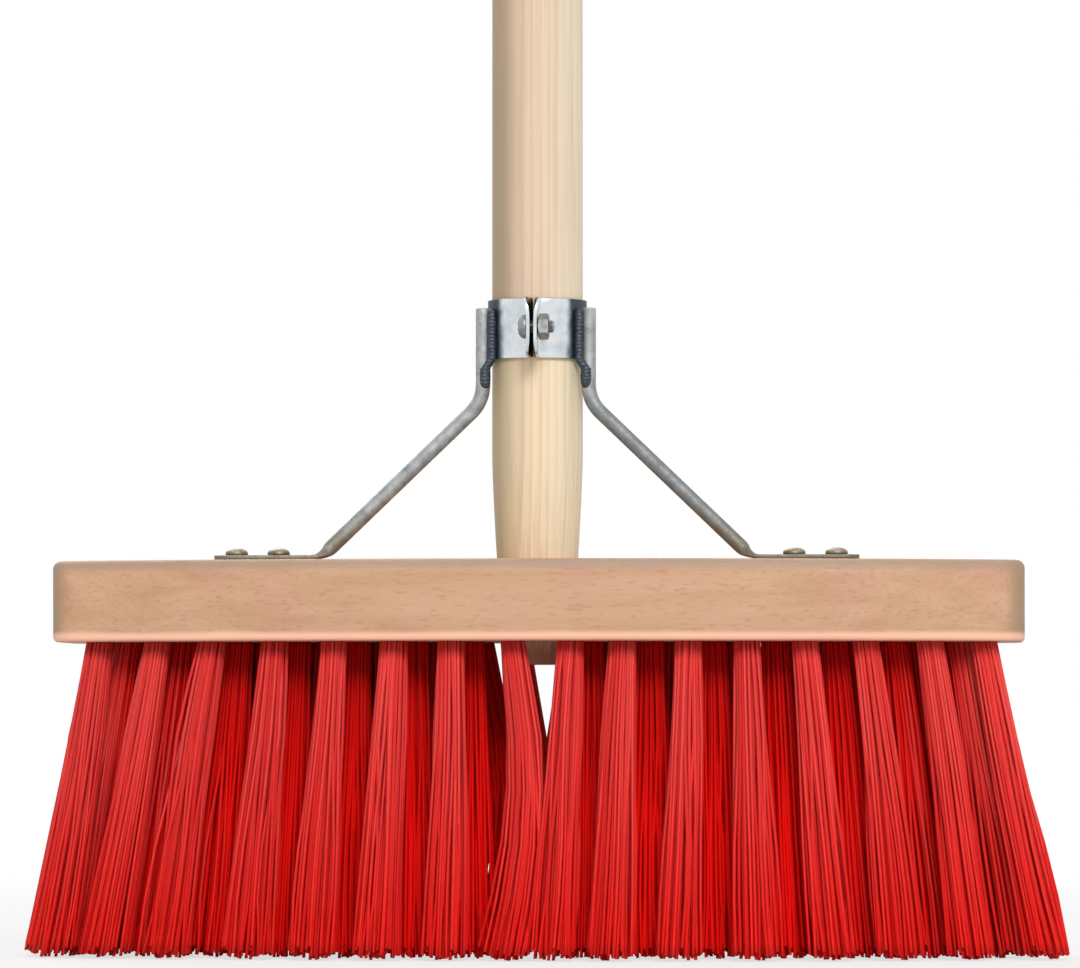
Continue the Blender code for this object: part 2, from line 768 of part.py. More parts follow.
def build_screws(block, parts, cutters, material):
    for side, word in ((-1, "left"), (1, "right")):
        for number, x in enumerate(screw_places(side)):
            profile = dome(SCREW_HEAD_RADIUS, SCREW_SEAT, SCREW_HEAD_HEIGHT, DOME_STEPS)
            profile += [(SCREW_RADIUS, SCREW_SEAT)] + screw_end(0)
            name = f"wood_screw_{word}_{number + 1}"
            screw = turned(name, profile, SMALL_SIDES, parts, material)
            shade_turned(screw)
            screw.location = (x, ARM_Y, 0)
            face = Vector((x, ARM_Y, SCREW_SEAT + SCREW_HEAD_HEIGHT))
            for box in cross_recess(name + "_recess", face, 0, cutters):
                boolean(screw, box, "DIFFERENCE")
            top = BLOCK_TOP + CUT_OVERRUN
            drilled = [(0, top), (SCREW_RADIUS + FIT_GAP, top)] + screw_end(FIT_GAP)
            hole = as_cutter(turned(name + "_hole", drilled, SMALL_SIDES, cutters))
            hole.location = (x, ARM_Y, 0)
            boolean(block, hole, "DIFFERENCE")


def build_broom():
    clear_scene()
    parts = new_collection("half_round_broom")
    cutters = new_collection("broom_cutters")
    steel = zinc_plate()
    block = build_block(parts, cutters, beech())
    build_tuft_rows(parts, cutters, red_bristle())
    build_handle(parts, handle_wood())
    for side, word in ((-1, "left"), (1, "right")):
        build_arm(side, word, parts, cutters, steel)
    build_strap(parts, cutters, steel)
    build_bolt(parts, cutters, steel)
    build_nut(parts, cutters, steel)
    build_screws(block, parts, cutters, steel)
    bpy.context.view_layer.update()


build_broom()
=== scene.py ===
# Half-round street broom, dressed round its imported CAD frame.
# Metres, +Z up, bristle tips on z = 0, the handle's axis on x = y = 0, bowed front towards -Y.

import json
from math import atan2, ceil, copysign, cos, hypot, pi, radians, sin, sqrt, tan

import bmesh
import bpy
import numpy as np
from mathutils import Matrix, Vector, noise


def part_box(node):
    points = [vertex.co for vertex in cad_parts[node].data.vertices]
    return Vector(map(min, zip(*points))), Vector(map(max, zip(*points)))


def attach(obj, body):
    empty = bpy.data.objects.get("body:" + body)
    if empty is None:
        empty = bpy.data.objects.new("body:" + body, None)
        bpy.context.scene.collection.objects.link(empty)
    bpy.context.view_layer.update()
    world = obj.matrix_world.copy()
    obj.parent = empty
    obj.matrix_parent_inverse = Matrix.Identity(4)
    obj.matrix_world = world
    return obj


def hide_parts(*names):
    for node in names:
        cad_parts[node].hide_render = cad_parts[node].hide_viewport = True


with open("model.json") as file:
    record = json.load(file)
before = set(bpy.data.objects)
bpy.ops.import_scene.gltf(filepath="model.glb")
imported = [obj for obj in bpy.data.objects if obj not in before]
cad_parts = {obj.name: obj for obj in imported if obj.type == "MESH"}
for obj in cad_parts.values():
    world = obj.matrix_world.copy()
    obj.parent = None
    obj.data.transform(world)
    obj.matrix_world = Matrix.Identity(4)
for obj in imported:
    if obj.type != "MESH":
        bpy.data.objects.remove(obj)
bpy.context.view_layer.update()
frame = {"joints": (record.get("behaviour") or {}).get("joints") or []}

blockLow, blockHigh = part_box("block")
strapLow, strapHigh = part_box("clamp_strap")
handleLow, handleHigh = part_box("handle")
strapMiddle = (strapLow.z + strapHigh.z) / 2
nutAxis = Vector([joint for joint in frame["joints"] if joint["name"] == "nut_spin"][0]["pos_m"])
boltPlace = Matrix.Translation((0, nutAxis.y, nutAxis.z))
sides = ((-1, "left"), (1, "right"))
screws = ("left_1", "left_2", "right_1", "right_2")
noise.seed_set(5)  # otherwise the block's edges stray another way each run


# What every shape and material below is made with

def toLinear(hexColour):
    # sRGB hex, as a paint chart gives it, to the linear colour that Blender wants
    linear = []
    for start in (1, 3, 5):
        value = int(hexColour[start:start + 2], 16) / 255
        linear.append(value / 12.92 if value <= 0.04045 else ((value + 0.055) / 1.055) ** 2.4)
    return (*linear, 1.0)


def feed(tree, socket, value):
    # Gives a socket a number, a hex colour or another socket; a node stands for its first output in use
    if isinstance(value, bpy.types.Node):
        value = [output for output in value.outputs if output.enabled][0]
    if isinstance(value, bpy.types.NodeSocket):
        tree.links.new(value, socket)
    else:
        socket.default_value = toLinear(value) if isinstance(value, str) else value


def addNode(tree, kind, inputs=None, stops=None, **settings):
    # One node with its settings, what its sockets hold or are fed by and, on a ramp, its stops
    node = tree.nodes.new("ShaderNode" + kind)
    for name, value in settings.items():
        setattr(node, name, value)
    for socket, value in (inputs or {}).items():
        feed(tree, node.inputs[socket], value)
    if stops:
        ramp = node.color_ramp
        while len(ramp.elements) < len(stops):
            ramp.elements.new(0.5)
        for element, (place, colour) in zip(ramp.elements, stops):
            element.position = place
            element.color = toLinear(colour) if isinstance(colour, str) else (colour, colour, colour, 1)
    return node


def newMaterial(name):
    # A material with its nodes, and the place on the piece that its patterns follow
    material = bpy.data.materials.new(name)
    material.use_nodes = True
    return material, material.node_tree, addNode(material.node_tree, "TexCoord").outputs["Object"]


def cloudy(tree, place, scale, stops, detail=3, rough=0.5):
    # A pattern of soft patches, and the colours it takes
    pattern = {"Scale": scale, "Detail": detail, "Roughness": rough, "Vector": place}
    clouds = addNode(tree, "TexNoise", pattern)
    return clouds, addNode(tree, "ValToRGB", {"Fac": clouds}, stops)


def drawnOut(tree, place, scale, detail=2, turn=(0, 0, 0), warp=0):
    # A pattern drawn out one way, as growth, a mill or a die leaves it: long where its scale is small
    drawn = addNode(tree, "Mapping", {"Scale": scale, "Rotation": turn, "Vector": place})
    return addNode(tree, "TexNoise", {"Scale": 1, "Detail": detail, "Distortion": warp, "Vector": drawn})


def stained(tree, under, colour, along, start=None, full=None, share=1, only=None):
    # A colour over another one: by a mask, or soaked in from where it starts to where it has its full share
    if start is not None:
        soaked = {"From Min": start, "From Max": full, "To Max": share, "Value": along}
        along = addNode(tree, "MapRange", soaked, interpolation_type="SMOOTHSTEP")
    if only:
        along = addNode(tree, "Math", {0: along, 1: only}, operation="MULTIPLY")
    return addNode(tree, "Mix", {0: along, 6: under, 7: colour}, data_type="RGBA")


def veined(tree, under, colour, pattern, start, full, share):
    # A colour over another one wherever a pattern is strong
    veins = addNode(tree, "ValToRGB", {"Fac": pattern}, [(start, 0), (full, share)])
    return stained(tree, under, colour, veins)


def strongest(tree, mask, *others):
    # Where masks meet, the strongest counts
    for other in others:
        mask = addNode(tree, "Math", {0: mask, 1: other}, operation="MAXIMUM")
    return mask


def dulled(tree, pattern, least, most):
    # How rough a metal is: polished by touch or worn dull, as a pattern says
    return addNode(tree, "MapRange", {"From Min": 0.3, "From Max": 0.7, "To Min": least, "To Max": most,
                                      "Value": pattern})


def finished(material, colour, values, relief, strength, depth=0.0001):
    # The shader gets its colour and values, and a relief so many metres deep
    tree = material.node_tree
    bump = addNode(tree, "Bump", {"Strength": strength, "Distance": depth, "Height": relief})
    for socket, value in {"Base Color": colour, "Normal": bump, **values}.items():
        feed(tree, tree.nodes["Principled BSDF"].inputs[socket], value)
    return material


def circle(count, offset=0):
    # (cosine, sine) all the way round
    turns = [2 * pi * (step + offset) / count for step in range(count)]
    return [(cos(turn), sin(turn)) for turn in turns]


def arc(centre, radius, start, end, steps):
    turns = [start + (end - start) * step / steps for step in range(steps + 1)]
    return [(centre[0] + radius * cos(turn), centre[1] + radius * sin(turn)) for turn in turns]


def quarter(steps):
    # (cosine, sine) up to a right angle
    return arc((0, 0), 1, 0, pi / 2, steps)


def line(start, end, steps):
    # Points between two places, without the ends
    shares = [step / steps for step in range(1, steps)]
    return [tuple(a + (b - a) * share for a, b in zip(start, end)) for share in shares]


def clamped(value):
    return min(max(value, 0), 1)


def roundedPath(corners, radii, steps):
    # Straight runs through the corners, each inner corner bent to its radius
    points = [corners[0]]
    for before, corner, after, radius in zip(corners, corners[1:], corners[2:], radii):
        back = (before - corner).normalized()
        ahead = (after - corner).normalized()
        half = back.angle(ahead) / 2
        centre = corner + (back + ahead).normalized() * (radius / sin(half))
        first = corner + back * (radius / tan(half)) - centre
        last = corner + ahead * (radius / tan(half)) - centre
        axis = first.cross(last)
        for step in range(steps + 1):
            points.append(centre + Matrix.Rotation(first.angle(last) * step / steps, 3, axis) @ first)
    return points + [corners[-1]]


def resampled(path, spacing):
    # The same path with no step longer than the spacing
    points = [path[0]]
    for start, end in zip(path, path[1:]):
        steps = max(1, ceil((end - start).length / spacing))
        points += [start.lerp(end, step / steps) for step in range(1, steps + 1)]
    return points


def heading(path, number):
    # The way a path runs at one of its points
    ahead = Vector(path[min(number + 1, len(path) - 1)])
    return (ahead - Vector(path[max(number - 1, 0)])).normalized()


def newObject(name, mesh):
    piece = bpy.data.objects.new(name, mesh)
    bpy.context.scene.collection.objects.link(piece)
    return piece


def loft(name, rings, matrix=None):
    # A skin over rings of points, with a flat face at each end
    count = len(rings[0])
    vertices = [tuple(point) for ring in rings for point in ring]
    faces = []
    for here in range(0, len(vertices) - count, count):
        there = here + count
        for step in range(count):
            after = (step + 1) % count
            faces.append((here + step, here + after, there + after, there + step))
    faces.append(tuple(range(count))[::-1])
    faces.append(tuple(range(len(vertices) - count, len(vertices))))
    mesh = bpy.data.meshes.new(name)
    mesh.from_pydata(vertices, [], faces)
    bm = bmesh.new()
    bm.from_mesh(mesh)
    bmesh.ops.recalc_face_normals(bm, faces=bm.faces)
    bm.to_mesh(mesh)
    bm.free()
    if matrix:
        mesh.transform(matrix)
    return newObject(name, mesh)


def turnedRings(profile, count):
    # Rings of a turned shape from (radius, height) points
    return [[(radius * x, radius * y, height) for x, y in circle(count)] for radius, height in profile]


def threadedRings(radiusAt, low, high, pitch, count, stepsPerTurn=8):
    # Rings of a thread, whose radius depends on the height and on the place between root (1) and crest (0)
    steps = max(2, int((high - low) / pitch * stepsPerTurn))
    rings = []
    for step in range(steps + 1):
        height = low + (high - low) * step / steps
        ring = []
        for number, (x, y) in enumerate(circle(count)):
            radius = radiusAt(height, abs(2 * ((height / pitch - number / count) % 1) - 1))
            ring.append((radius * x, radius * y, height))
        rings.append(ring)
    return rings


def rodCutter(radius, low, high, matrix, count=40):
    return loft("cutter", turnedRings([(radius, low), (radius, high)], count), matrix)


def crossCutter(size, depth, matrix):
    # The tapered cross that a screwdriver turns
    rings = []
    for share, height in ((0.55, -depth), (1.0, 0.0), (1.2, depth)):
        long, short = size[0] * share / 2, size[1] * share / 2
        arm = [Vector((x, y, height)) for x, y in ((long, -short), (long, short), (short, short))]
        rings.append([Matrix.Rotation(turn * pi / 2, 3, "Z") @ point for turn in range(4) for point in arm])
    return loft("cutter", rings, matrix)


def screwBox(name, height=0):
    # A screw's lowest and highest corner, and the place where its axis passes a height
    low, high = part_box("wood_screw_" + name)
    return low, high, Matrix.Translation((*((low + high) / 2).xy, height))


def joined(pieces):
    # Several meshes as one, so that one boolean cuts them all
    bm = bmesh.new()
    for piece in pieces:
        bm.from_mesh(piece.data)
        bpy.data.objects.remove(piece)
    mesh = bpy.data.meshes.new("cutters")
    bm.to_mesh(mesh)
    bm.free()
    return newObject("cutters", mesh)


def cut(piece, cutter, operation="DIFFERENCE"):
    step = piece.modifiers.new("cut", "BOOLEAN")
    step.operation = operation
    step.object = cutter
    bpy.context.view_layer.update()
    done = bpy.data.meshes.new_from_object(piece.evaluated_get(bpy.context.evaluated_depsgraph_get()))
    piece.modifiers.clear()
    piece.data = done
    bpy.data.objects.remove(cutter)


def dress(piece, sharp, material, body, slot, *nodes):
    # Smooth, but for edges sharper than so many degrees
    piece.data.shade_smooth()
    piece.data.set_sharp_from_angle(angle=radians(sharp))
    piece.data.materials.clear()
    piece.data.materials.append(material)
    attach(piece, body)
    if nodes:
        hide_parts(*nodes)


# Camera: low, a little to the right of the broom's front, tilted up to frame it as the photograph does

photo = {
    "width": 1080,  # pixels
    "scale": 3240,  # pixels for each metre at the handle's axis, from its 28 mm
    "axis": 537.5,  # the pixel that the handle's axis is at, from the left
    "azimuth": 4,  # degrees to the right: the clamp's bolt is seen left of the handle's middle
    "distance": 2.2,  # far enough that the bowed front is hardly nearer
    "height": 0.070,  # below the block: the ends of the bowed front are seen lower than its middle
    "middleHeight": 0.1458,  # what the picture's middle row shows, at the handle's axis
    "sensorWidth": 36,
}


def buildCamera():
    camera = bpy.data.cameras.new("camera")
    camera.sensor_fit = "HORIZONTAL"
    camera.sensor_width = photo["sensorWidth"]
    distance, height = photo["distance"], photo["height"]
    camera.lens = photo["sensorWidth"] * distance / (photo["width"] / photo["scale"])
    placed = newObject("camera", camera)
    across = (photo["width"] / 2 - photo["axis"]) / photo["scale"]
    turn = radians(photo["azimuth"])
    placed.location = Matrix.Rotation(turn, 3, "Z") @ Vector((across, -distance, height))
    tilt = atan2(photo["middleHeight"] - height, distance)
    placed.rotation_euler = (pi / 2 + tilt, 0, turn)
    bpy.context.scene.camera = placed


def pixelToX(pixel, y):
    # Where a column of the photograph is across the broom, at a depth
    turn = radians(photo["azimuth"])
    sine, cosine = sin(turn), cos(turn)
    slope = (pixel - photo["axis"]) / (photo["scale"] * photo["distance"])
    return (slope * (photo["distance"] + y * cosine) - y * sine) / (cosine + slope * sine)


buildCamera()
print("camera placed")


# Block: beech, planed all round, bowed in front, with the tuft holes and the handle's socket

block = {
    "bow": 0.028, "cornerRadius": 0.012, "topRadius": 0.0025, "lowRadius": 0.0016,
    "wander": 0.00012,  # how far the sanded edges stray
    "wanderScale": 45, "frontSteps": 90, "cornerSteps": 10, "backSteps": 40, "endSteps": 6,
    "edgeSteps": 5, "socketSteps": 8, "holeRadius": 0.0045, "holeDepth": 0.012,
    "holeStart": -0.004,  # the drill starts outside the wood
    "holeSides": 28, "socketGap": 0.0003, "pilotRadius": 0.00205,
    "pilotGap": 0.0003,  # under a screw's point
    "over": 0.002,  # how far a cutter stands out of the wood
}

pole = {
    "radius": 0.014, "tipRadius": 0.0103, "taperLength": 0.064, "taperCurve": 1.3,
    "domeHeight": 0.010,
    "crown": 0.0004,  # the small flat that the lathe leaves on the dome
    "tipBevel": 0.001, "sides": 96, "bevelSteps": 4, "taperSteps": 24, "shaftSteps": 60,
    "domeSteps": 13,
}

# The tufts: five staggered rows that follow the bow, each tuft fanned out to the floor
tuft = {
    "rows": 5, "pitch": 0.018, "endInset": 0.015, "edgeInset": 0.010,
    "socketWall": 0.0096,  # least wood from the handle's socket to a tuft's centre
    "endLean": 0.017, "centreLean": 0.001, "rowSplay": 0.007,
    "rowShift": (0, -0.0012, -0.0016, 0.0004, 0.0006),  # the drill's jig wasn't set quite alike for each row
    "drift": 0.0004,  # how far a drilled hole is off its place, behind the front row
    "driftTurn": 2.4,  # how unlike the next one's
    "secondSpread": 0.0045,  # how much further out the second row's last tuft on the right stands
    "backBulge": 0.0045,  # the two back tufts beside the middle fall in towards each other
    "slitTuft": (3, -1, 0),  # left of the middle, the fourth row's first tuft
    "slit": 0.0019,  # stands off, which leaves a slit
    "slitBulge": 0.0062,  # and bends back, which closes the slit further down
    # The front row as the photograph shows it, in its pixels from the left: under the block and at the floor
    "frontRoots": (100, 158, 213, 275, 334, 394, 451, 511, 570, 623, 688, 747, 805, 865, 929, 984),
    "frontTips": (53, 105, 168, 248, 314, 376, 444, 507, 553, 610, 679, 756, 834, 900, 971, 1047),
    # And how far each stands off that line halfway down
    "frontBulges": (2, 1, -2, 0, 0, 0, 2, 17, 0, 0, 1, 0, 0, 2, 1, -2),
    "thin": 7,  # this one, counted from 0, is thinner
    "thinShare": 0.85,
}


def frontCircle():
    bow = block["bow"]
    radius = (blockHigh.x ** 2 + bow ** 2) / (2 * bow)
    return radius, blockLow.y + radius


def blockOutline(inset):
    # In plan, from the left end of the bowed front round to it again
    radius, centreY = frontCircle()
    corner = block["cornerRadius"]
    x = blockHigh.x - corner
    frontY = centreY - sqrt((radius - corner) ** 2 - x ** 2)
    backY = blockHigh.y - corner
    turn = atan2(frontY - centreY, x)
    bends = [arc(centre, corner - inset, start, end, block["cornerSteps"]) for centre, start, end in (
        ((x, frontY), turn, 0), ((x, backY), 0, pi / 2),
        ((-x, backY), pi / 2, pi), ((-x, frontY), pi, pi - turn))]
    outline = arc((0, centreY), radius - inset, -pi - turn, turn, block["frontSteps"])[:-1]
    for bend, after, run in zip(bends, bends[1:], ("endSteps", "backSteps", "endSteps")):
        outline += bend + line(bend[-1], after[0], block[run])
    return outline + bends[-1][:-1]


def rowY(row, x):
    radius, centreY = frontCircle()
    front = centreY - sqrt((radius - tuft["edgeInset"]) ** 2 - x ** 2)
    back = blockHigh.y - tuft["edgeInset"]
    return front + (back - front) * row / (tuft["rows"] - 1)


def handleRadius(height):
    share = clamped((height - handleLow.z) / pole["taperLength"])
    full = pole["radius"] - pole["tipRadius"]
    return pole["tipRadius"] + full * (1 - (1 - share) ** pole["taperCurve"])


def frontTuft(step, side, y, splay):
    # Where the photograph shows a tuft of the front row
    middle = len(tuft["frontRoots"]) // 2
    number = middle - 1 - step if side < 0 else middle + step
    root = Vector((pixelToX(tuft["frontRoots"][number], y), y, 0))
    tip = Vector((pixelToX(tuft["frontTips"][number], y + splay), y + splay, 0))
    bulge = tuft["frontBulges"][number] / photo["scale"]
    return root, tip, bulge, tuft["thinShare"] if number == tuft["thin"] else 1


def tuftPlaces(row, side):
    # (root, tip, bulge, share of the full width) of each tuft of a row on one side
    last = blockHigh.x - tuft["endInset"]
    shift = tuft["pitch"] / 2 if row % 2 == 0 else tuft["pitch"]
    clear = handleRadius(blockLow.z) + tuft["socketWall"]
    middle = (tuft["rows"] - 1) / 2
    splay = tuft["rowSplay"] * (row - middle) / middle
    places = []
    for step in range(int(last / tuft["pitch"]) + 1):
        x = shift + step * tuft["pitch"]
        y = rowY(row, x)
        if x > last + 1e-6 or hypot(x, y) < clear:
            continue
        if row == 0:
            places.append(frontTuft(step, side, y, splay))
            continue
        lean = (tuft["endLean"] + tuft["centreLean"]) * (x / last) ** 2 - tuft["centreLean"]
        off = tuft["rowShift"][row]
        off += tuft["drift"] * sin(tuft["driftTurn"] * (step + 1) * (row + 1) + side)
        if row == 1 and side > 0:
            off += tuft["secondSpread"] * x / last
        root = Vector((side * x + off, y, 0))
        tip = Vector((side * (x + lean) + off, y + splay, 0))
        bulge = -side * tuft["backBulge"] if row == tuft["rows"] - 1 and step == 0 else 0
        if (row, side, step) == tuft["slitTuft"]:
            root.x -= tuft["slit"]
            bulge = tuft["slitBulge"]
        places.append((root, tip, bulge, 1))
    return places


def planedBeech():
    # Beech planed with the grain along X: pinkish tan, close and even, with short dark rays.
    # To the eye: matt, softly mottled, with a painted highlight: a paler line along the lower edge.
    material, tree, place = newMaterial("planed beech")
    across, _, height = addNode(tree, "SeparateXYZ", {0: place}).outputs
    # Growth rings, 4 to 6 mm apart, drawn out to bands a hand's width long
    bands = drawnOut(tree, place, (9, 190, 190), 3, (0.3, 0.02, 0.03), 0.4)
    colour = addNode(tree, "ValToRGB", {"Fac": bands},
                     [(0.3, "#B98C69"), (0.45, "#C29776"), (0.6, "#CA9F80"), (0.75, "#D1A98A")])
    # Rays: 3 mm long and 0.4 mm wide in beech, drawn 5 mm by 0.7 mm so that they show
    rays = drawnOut(tree, place, (210, 1400, 1400))
    colour = veined(tree, colour, "#A87752", rays, 0.55, 0.7, 0.6)
    # Patches a thumb wide that lean to pink or to straw
    patches, tint = cloudy(tree, place, 55, [(0.35, "#D9B487"), (0.65, "#DFA68C")], 2)
    colour = stained(tree, colour, tint, 0.28)
    # Greyer and darker towards the ends: end grain, and painted shade on the rounded corners
    outwards = addNode(tree, "Math", {0: across}, operation="ABSOLUTE")
    end, low, high = blockHigh.x, blockLow.z, blockHigh.z
    colour = stained(tree, colour, "#9C8468", outwards, end - 0.0065, end - 0.001, 0.7)
    # Painted highlight: a pale line along the lower edge, not quite even
    uneven = addNode(tree, "Math", {0: patches, 1: 0.0012, 2: height}, operation="MULTIPLY_ADD")
    offUnderside = addNode(tree, "MapRange", {"From Min": low + 0.0001, "From Max": low + 0.0005,
                                              "To Min": 0.2, "Value": height})
    colour = stained(tree, colour, "#FFC8AB", uneven, low + 0.0042, low + 0.0022, 0.92, offUnderside)
    # A greyer band along the upper edge
    offTop = addNode(tree, "MapRange", {"From Min": high - 0.0014, "From Max": high - 0.0001,
                                        "To Min": 1, "To Max": 0.12, "Value": height})
    colour = stained(tree, colour, "#A38F80", uneven, high - 0.0034, high - 0.0008, 0.75, offTop)
    # Pores: open lines 0.1 mm deep at most
    pores = drawnOut(tree, place, (60, 1500, 1500), 4)
    return finished(material, colour, {"Roughness": 0.58, "IOR": 1.5}, pores, 0.35)


def buildBlock():
    rings = []
    for radius, height, up in ((block["lowRadius"], blockLow.z, 1), (block["topRadius"], blockHigh.z, -1)):
        edge = []
        for step, (cosine, sine) in enumerate(quarter(block["edgeSteps"])):
            level = height + up * radius * (1 - cosine)
            ring = [Vector((x, y, level)) for x, y in blockOutline(radius * (1 - sine))]
            # The sander leaves the edge a little uneven
            for point in ring:
                point += noise.noise_vector(point * block["wanderScale"]) * block["wander"] * (step > 0)
            edge.append(ring)
        rings += edge[::up]
    made = loft("blockWood", rings)
    cutters = []
    for row in range(tuft["rows"]):
        for side, _ in sides:
            for root, tip, _, _ in tuftPlaces(row, side):
                # Each hole is drilled along the way its tuft leans
                lean = Vector((root.x - tip.x, root.y - tip.y, blockLow.z)).normalized()
                turn = Vector((0, 0, 1)).rotation_difference(lean).to_matrix().to_4x4()
                place = Matrix.Translation((root.x, root.y, blockLow.z)) @ turn
                cutters.append(rodCutter(block["holeRadius"], block["holeStart"],
                                         block["holeDepth"], place, block["holeSides"]))
    over, steps = block["over"], block["socketSteps"]
    thick = blockHigh.z - blockLow.z + 2 * over
    levels = [blockLow.z - over + thick * step / steps for step in range(steps + 1)]
    socket = [(handleRadius(level) + block["socketGap"], level) for level in levels]
    cutters.append(loft("cutter", turnedRings(socket, pole["sides"])))
    for name in screws:
        low, high, place = screwBox(name)
        cutters.append(rodCutter(block["pilotRadius"], low.z - block["pilotGap"], blockHigh.z + over, place))
    cut(made, joined(cutters))
    dress(made, 30, planedBeech(), "head", "block_wood", "block")


buildBlock()
print("block built")


# Handle: a turned pole, tapered into the block

def turnedPine():
    # Pine turned to a pole and fine sanded: pale straw, with the growth rings as long stripes.
    # To the eye: satin, pinker up the pole and yellower on the freshly cut taper, brown at the end grain.
    material, tree, place = newMaterial("turned pine")
    across, _, height = addNode(tree, "SeparateXYZ", {0: place}).outputs
    # Rings 2.6 mm apart round a heart 32 mm from the pole's axis; a wave's length is pi/10 at scale 1
    heart = {"Location": (0.021, 0.024, 0), "Scale": (1, 1, 0.035), "Vector": place}
    wave = {"Scale": 0.314 / 0.0026, "Distortion": 4, "Detail": 3, "Detail Scale": 0.7, "Phase Offset": 1.3,
            "Vector": addNode(tree, "Mapping", heart)}
    rings = addNode(tree, "TexWave", wave, wave_type="RINGS", rings_direction="Z",
                    wave_profile="SAW").outputs["Fac"]
    upper = addNode(tree, "ValToRGB", {"Fac": rings},
                    [(0.0, "#E6CDB6"), (0.55, "#E3C7AE"), (0.85, "#DDBFA2"), (1.0, "#E1C6AD")])
    lower = addNode(tree, "ValToRGB", {"Fac": rings},
                    [(0.0, "#F2DCC0"), (0.55, "#EFD7B5"), (0.85, "#E8CBA3"), (1.0, "#EDD3B1")])
    # From the clamp down the wood is freshly cut
    cutFresh = addNode(tree, "MapRange", {"From Min": strapMiddle, "From Max": strapMiddle - 0.012,
                                          "Value": height}, interpolation_type="SMOOTHSTEP")
    colour = stained(tree, upper, lower, cutFresh)
    # Heartwood, greyer and darker, runs up the left side of the pole, and paler greenish sapwood up the
    # right: partly the wood's own tone, partly painted shade on the left and painted light on the right
    drift = drawnOut(tree, place, (110, 110, 6))
    edge = addNode(tree, "Math", {0: drift, 1: 0.012, 2: across}, operation="MULTIPLY_ADD")
    heartwoodAndShade = stained(tree, "#AF987A", "#BEAF8B", cutFresh)
    colour = stained(tree, colour, heartwoodAndShade, edge, 0.005, -0.006, 0.92)
    colour = stained(tree, colour, "#F3EDD0", edge, 0.008, 0.018, 0.6)
    # Fibre streaks, 1 mm wide and 60 mm long
    streaks = drawnOut(tree, place, (900, 900, 14), 3)
    colour = veined(tree, colour, "#C9A283", streaks, 0.48, 0.72, 0.34)
    # The end that stands out of the block's underside is browned, further up along some streaks
    uneven = addNode(tree, "Math", {0: streaks, 1: -0.010, 2: height}, operation="MULTIPLY_ADD")
    colour = stained(tree, colour, "#B87650", uneven, handleLow.z + 0.006, handleLow.z - 0.002, 0.85)
    return finished(material, colour, {"Roughness": 0.5, "IOR": 1.5}, streaks, 0.3)


def buildPole():
    radius, tip, bevel, low = pole["radius"], pole["tipRadius"], pole["tipBevel"], handleLow.z
    bend = quarter(pole["bevelSteps"])
    profile = [(tip - bevel * (1 - sine), low + bevel * (1 - cosine)) for cosine, sine in bend]
    steps = pole["taperSteps"]
    heights = [low + bevel + (pole["taperLength"] - bevel) * step / steps for step in range(1, steps + 1)]
    profile += [(handleRadius(height), height) for height in heights]
    shoulder = handleHigh.z - pole["domeHeight"]
    profile += [(radius, height) for height, in line(heights[-1:], (shoulder,), pole["shaftSteps"])]
    dome = quarter(pole["domeSteps"])[:-1]
    profile += [(radius * cosine, shoulder + pole["domeHeight"] * sine) for cosine, sine in dome]
    profile.append((pole["crown"], handleHigh.z))
    handle = loft("pole", turnedRings(profile, pole["sides"]))
    dress(handle, 35, turnedPine(), "pole", "handle_wood", "handle")


buildPole()
print("pole turned")


# Bristles: every tuft is a bundle of stiff fibres, folded into its hole and fanned out to the floor

fibre = {
    "seed": 11,
    "radius": 0.00049,  # 1 mm fibre
    "bundleRadius": 0.0044, "spacing": 0.00100, "rootScatter": 0.00005,
    "fan": (0.0075, 0.0072),  # the bundle's radius at the floor, across and deep
    "fanShares": (0.92, 1.08),  # from the narrowest tuft to the widest
    "fanCurve": 0.9,
    "scatter": 0.0005,  # how far a tip strays from its place in the fan
    "strays": 0.07,  # share of fibres that stray further
    "strayTimes": 3,
    "wave": 0.00045,
    "ragged": 0.0030,  # how far the shortest ends above the floor
    "raggedPower": 1.6,  # most are nearer to the longest
    "rimLift": 0.0018,  # how much higher the outermost ones of a bundle end
    "rimPower": 3,
    "inHole": 0.004, "sides": 6, "steps": 6,
}


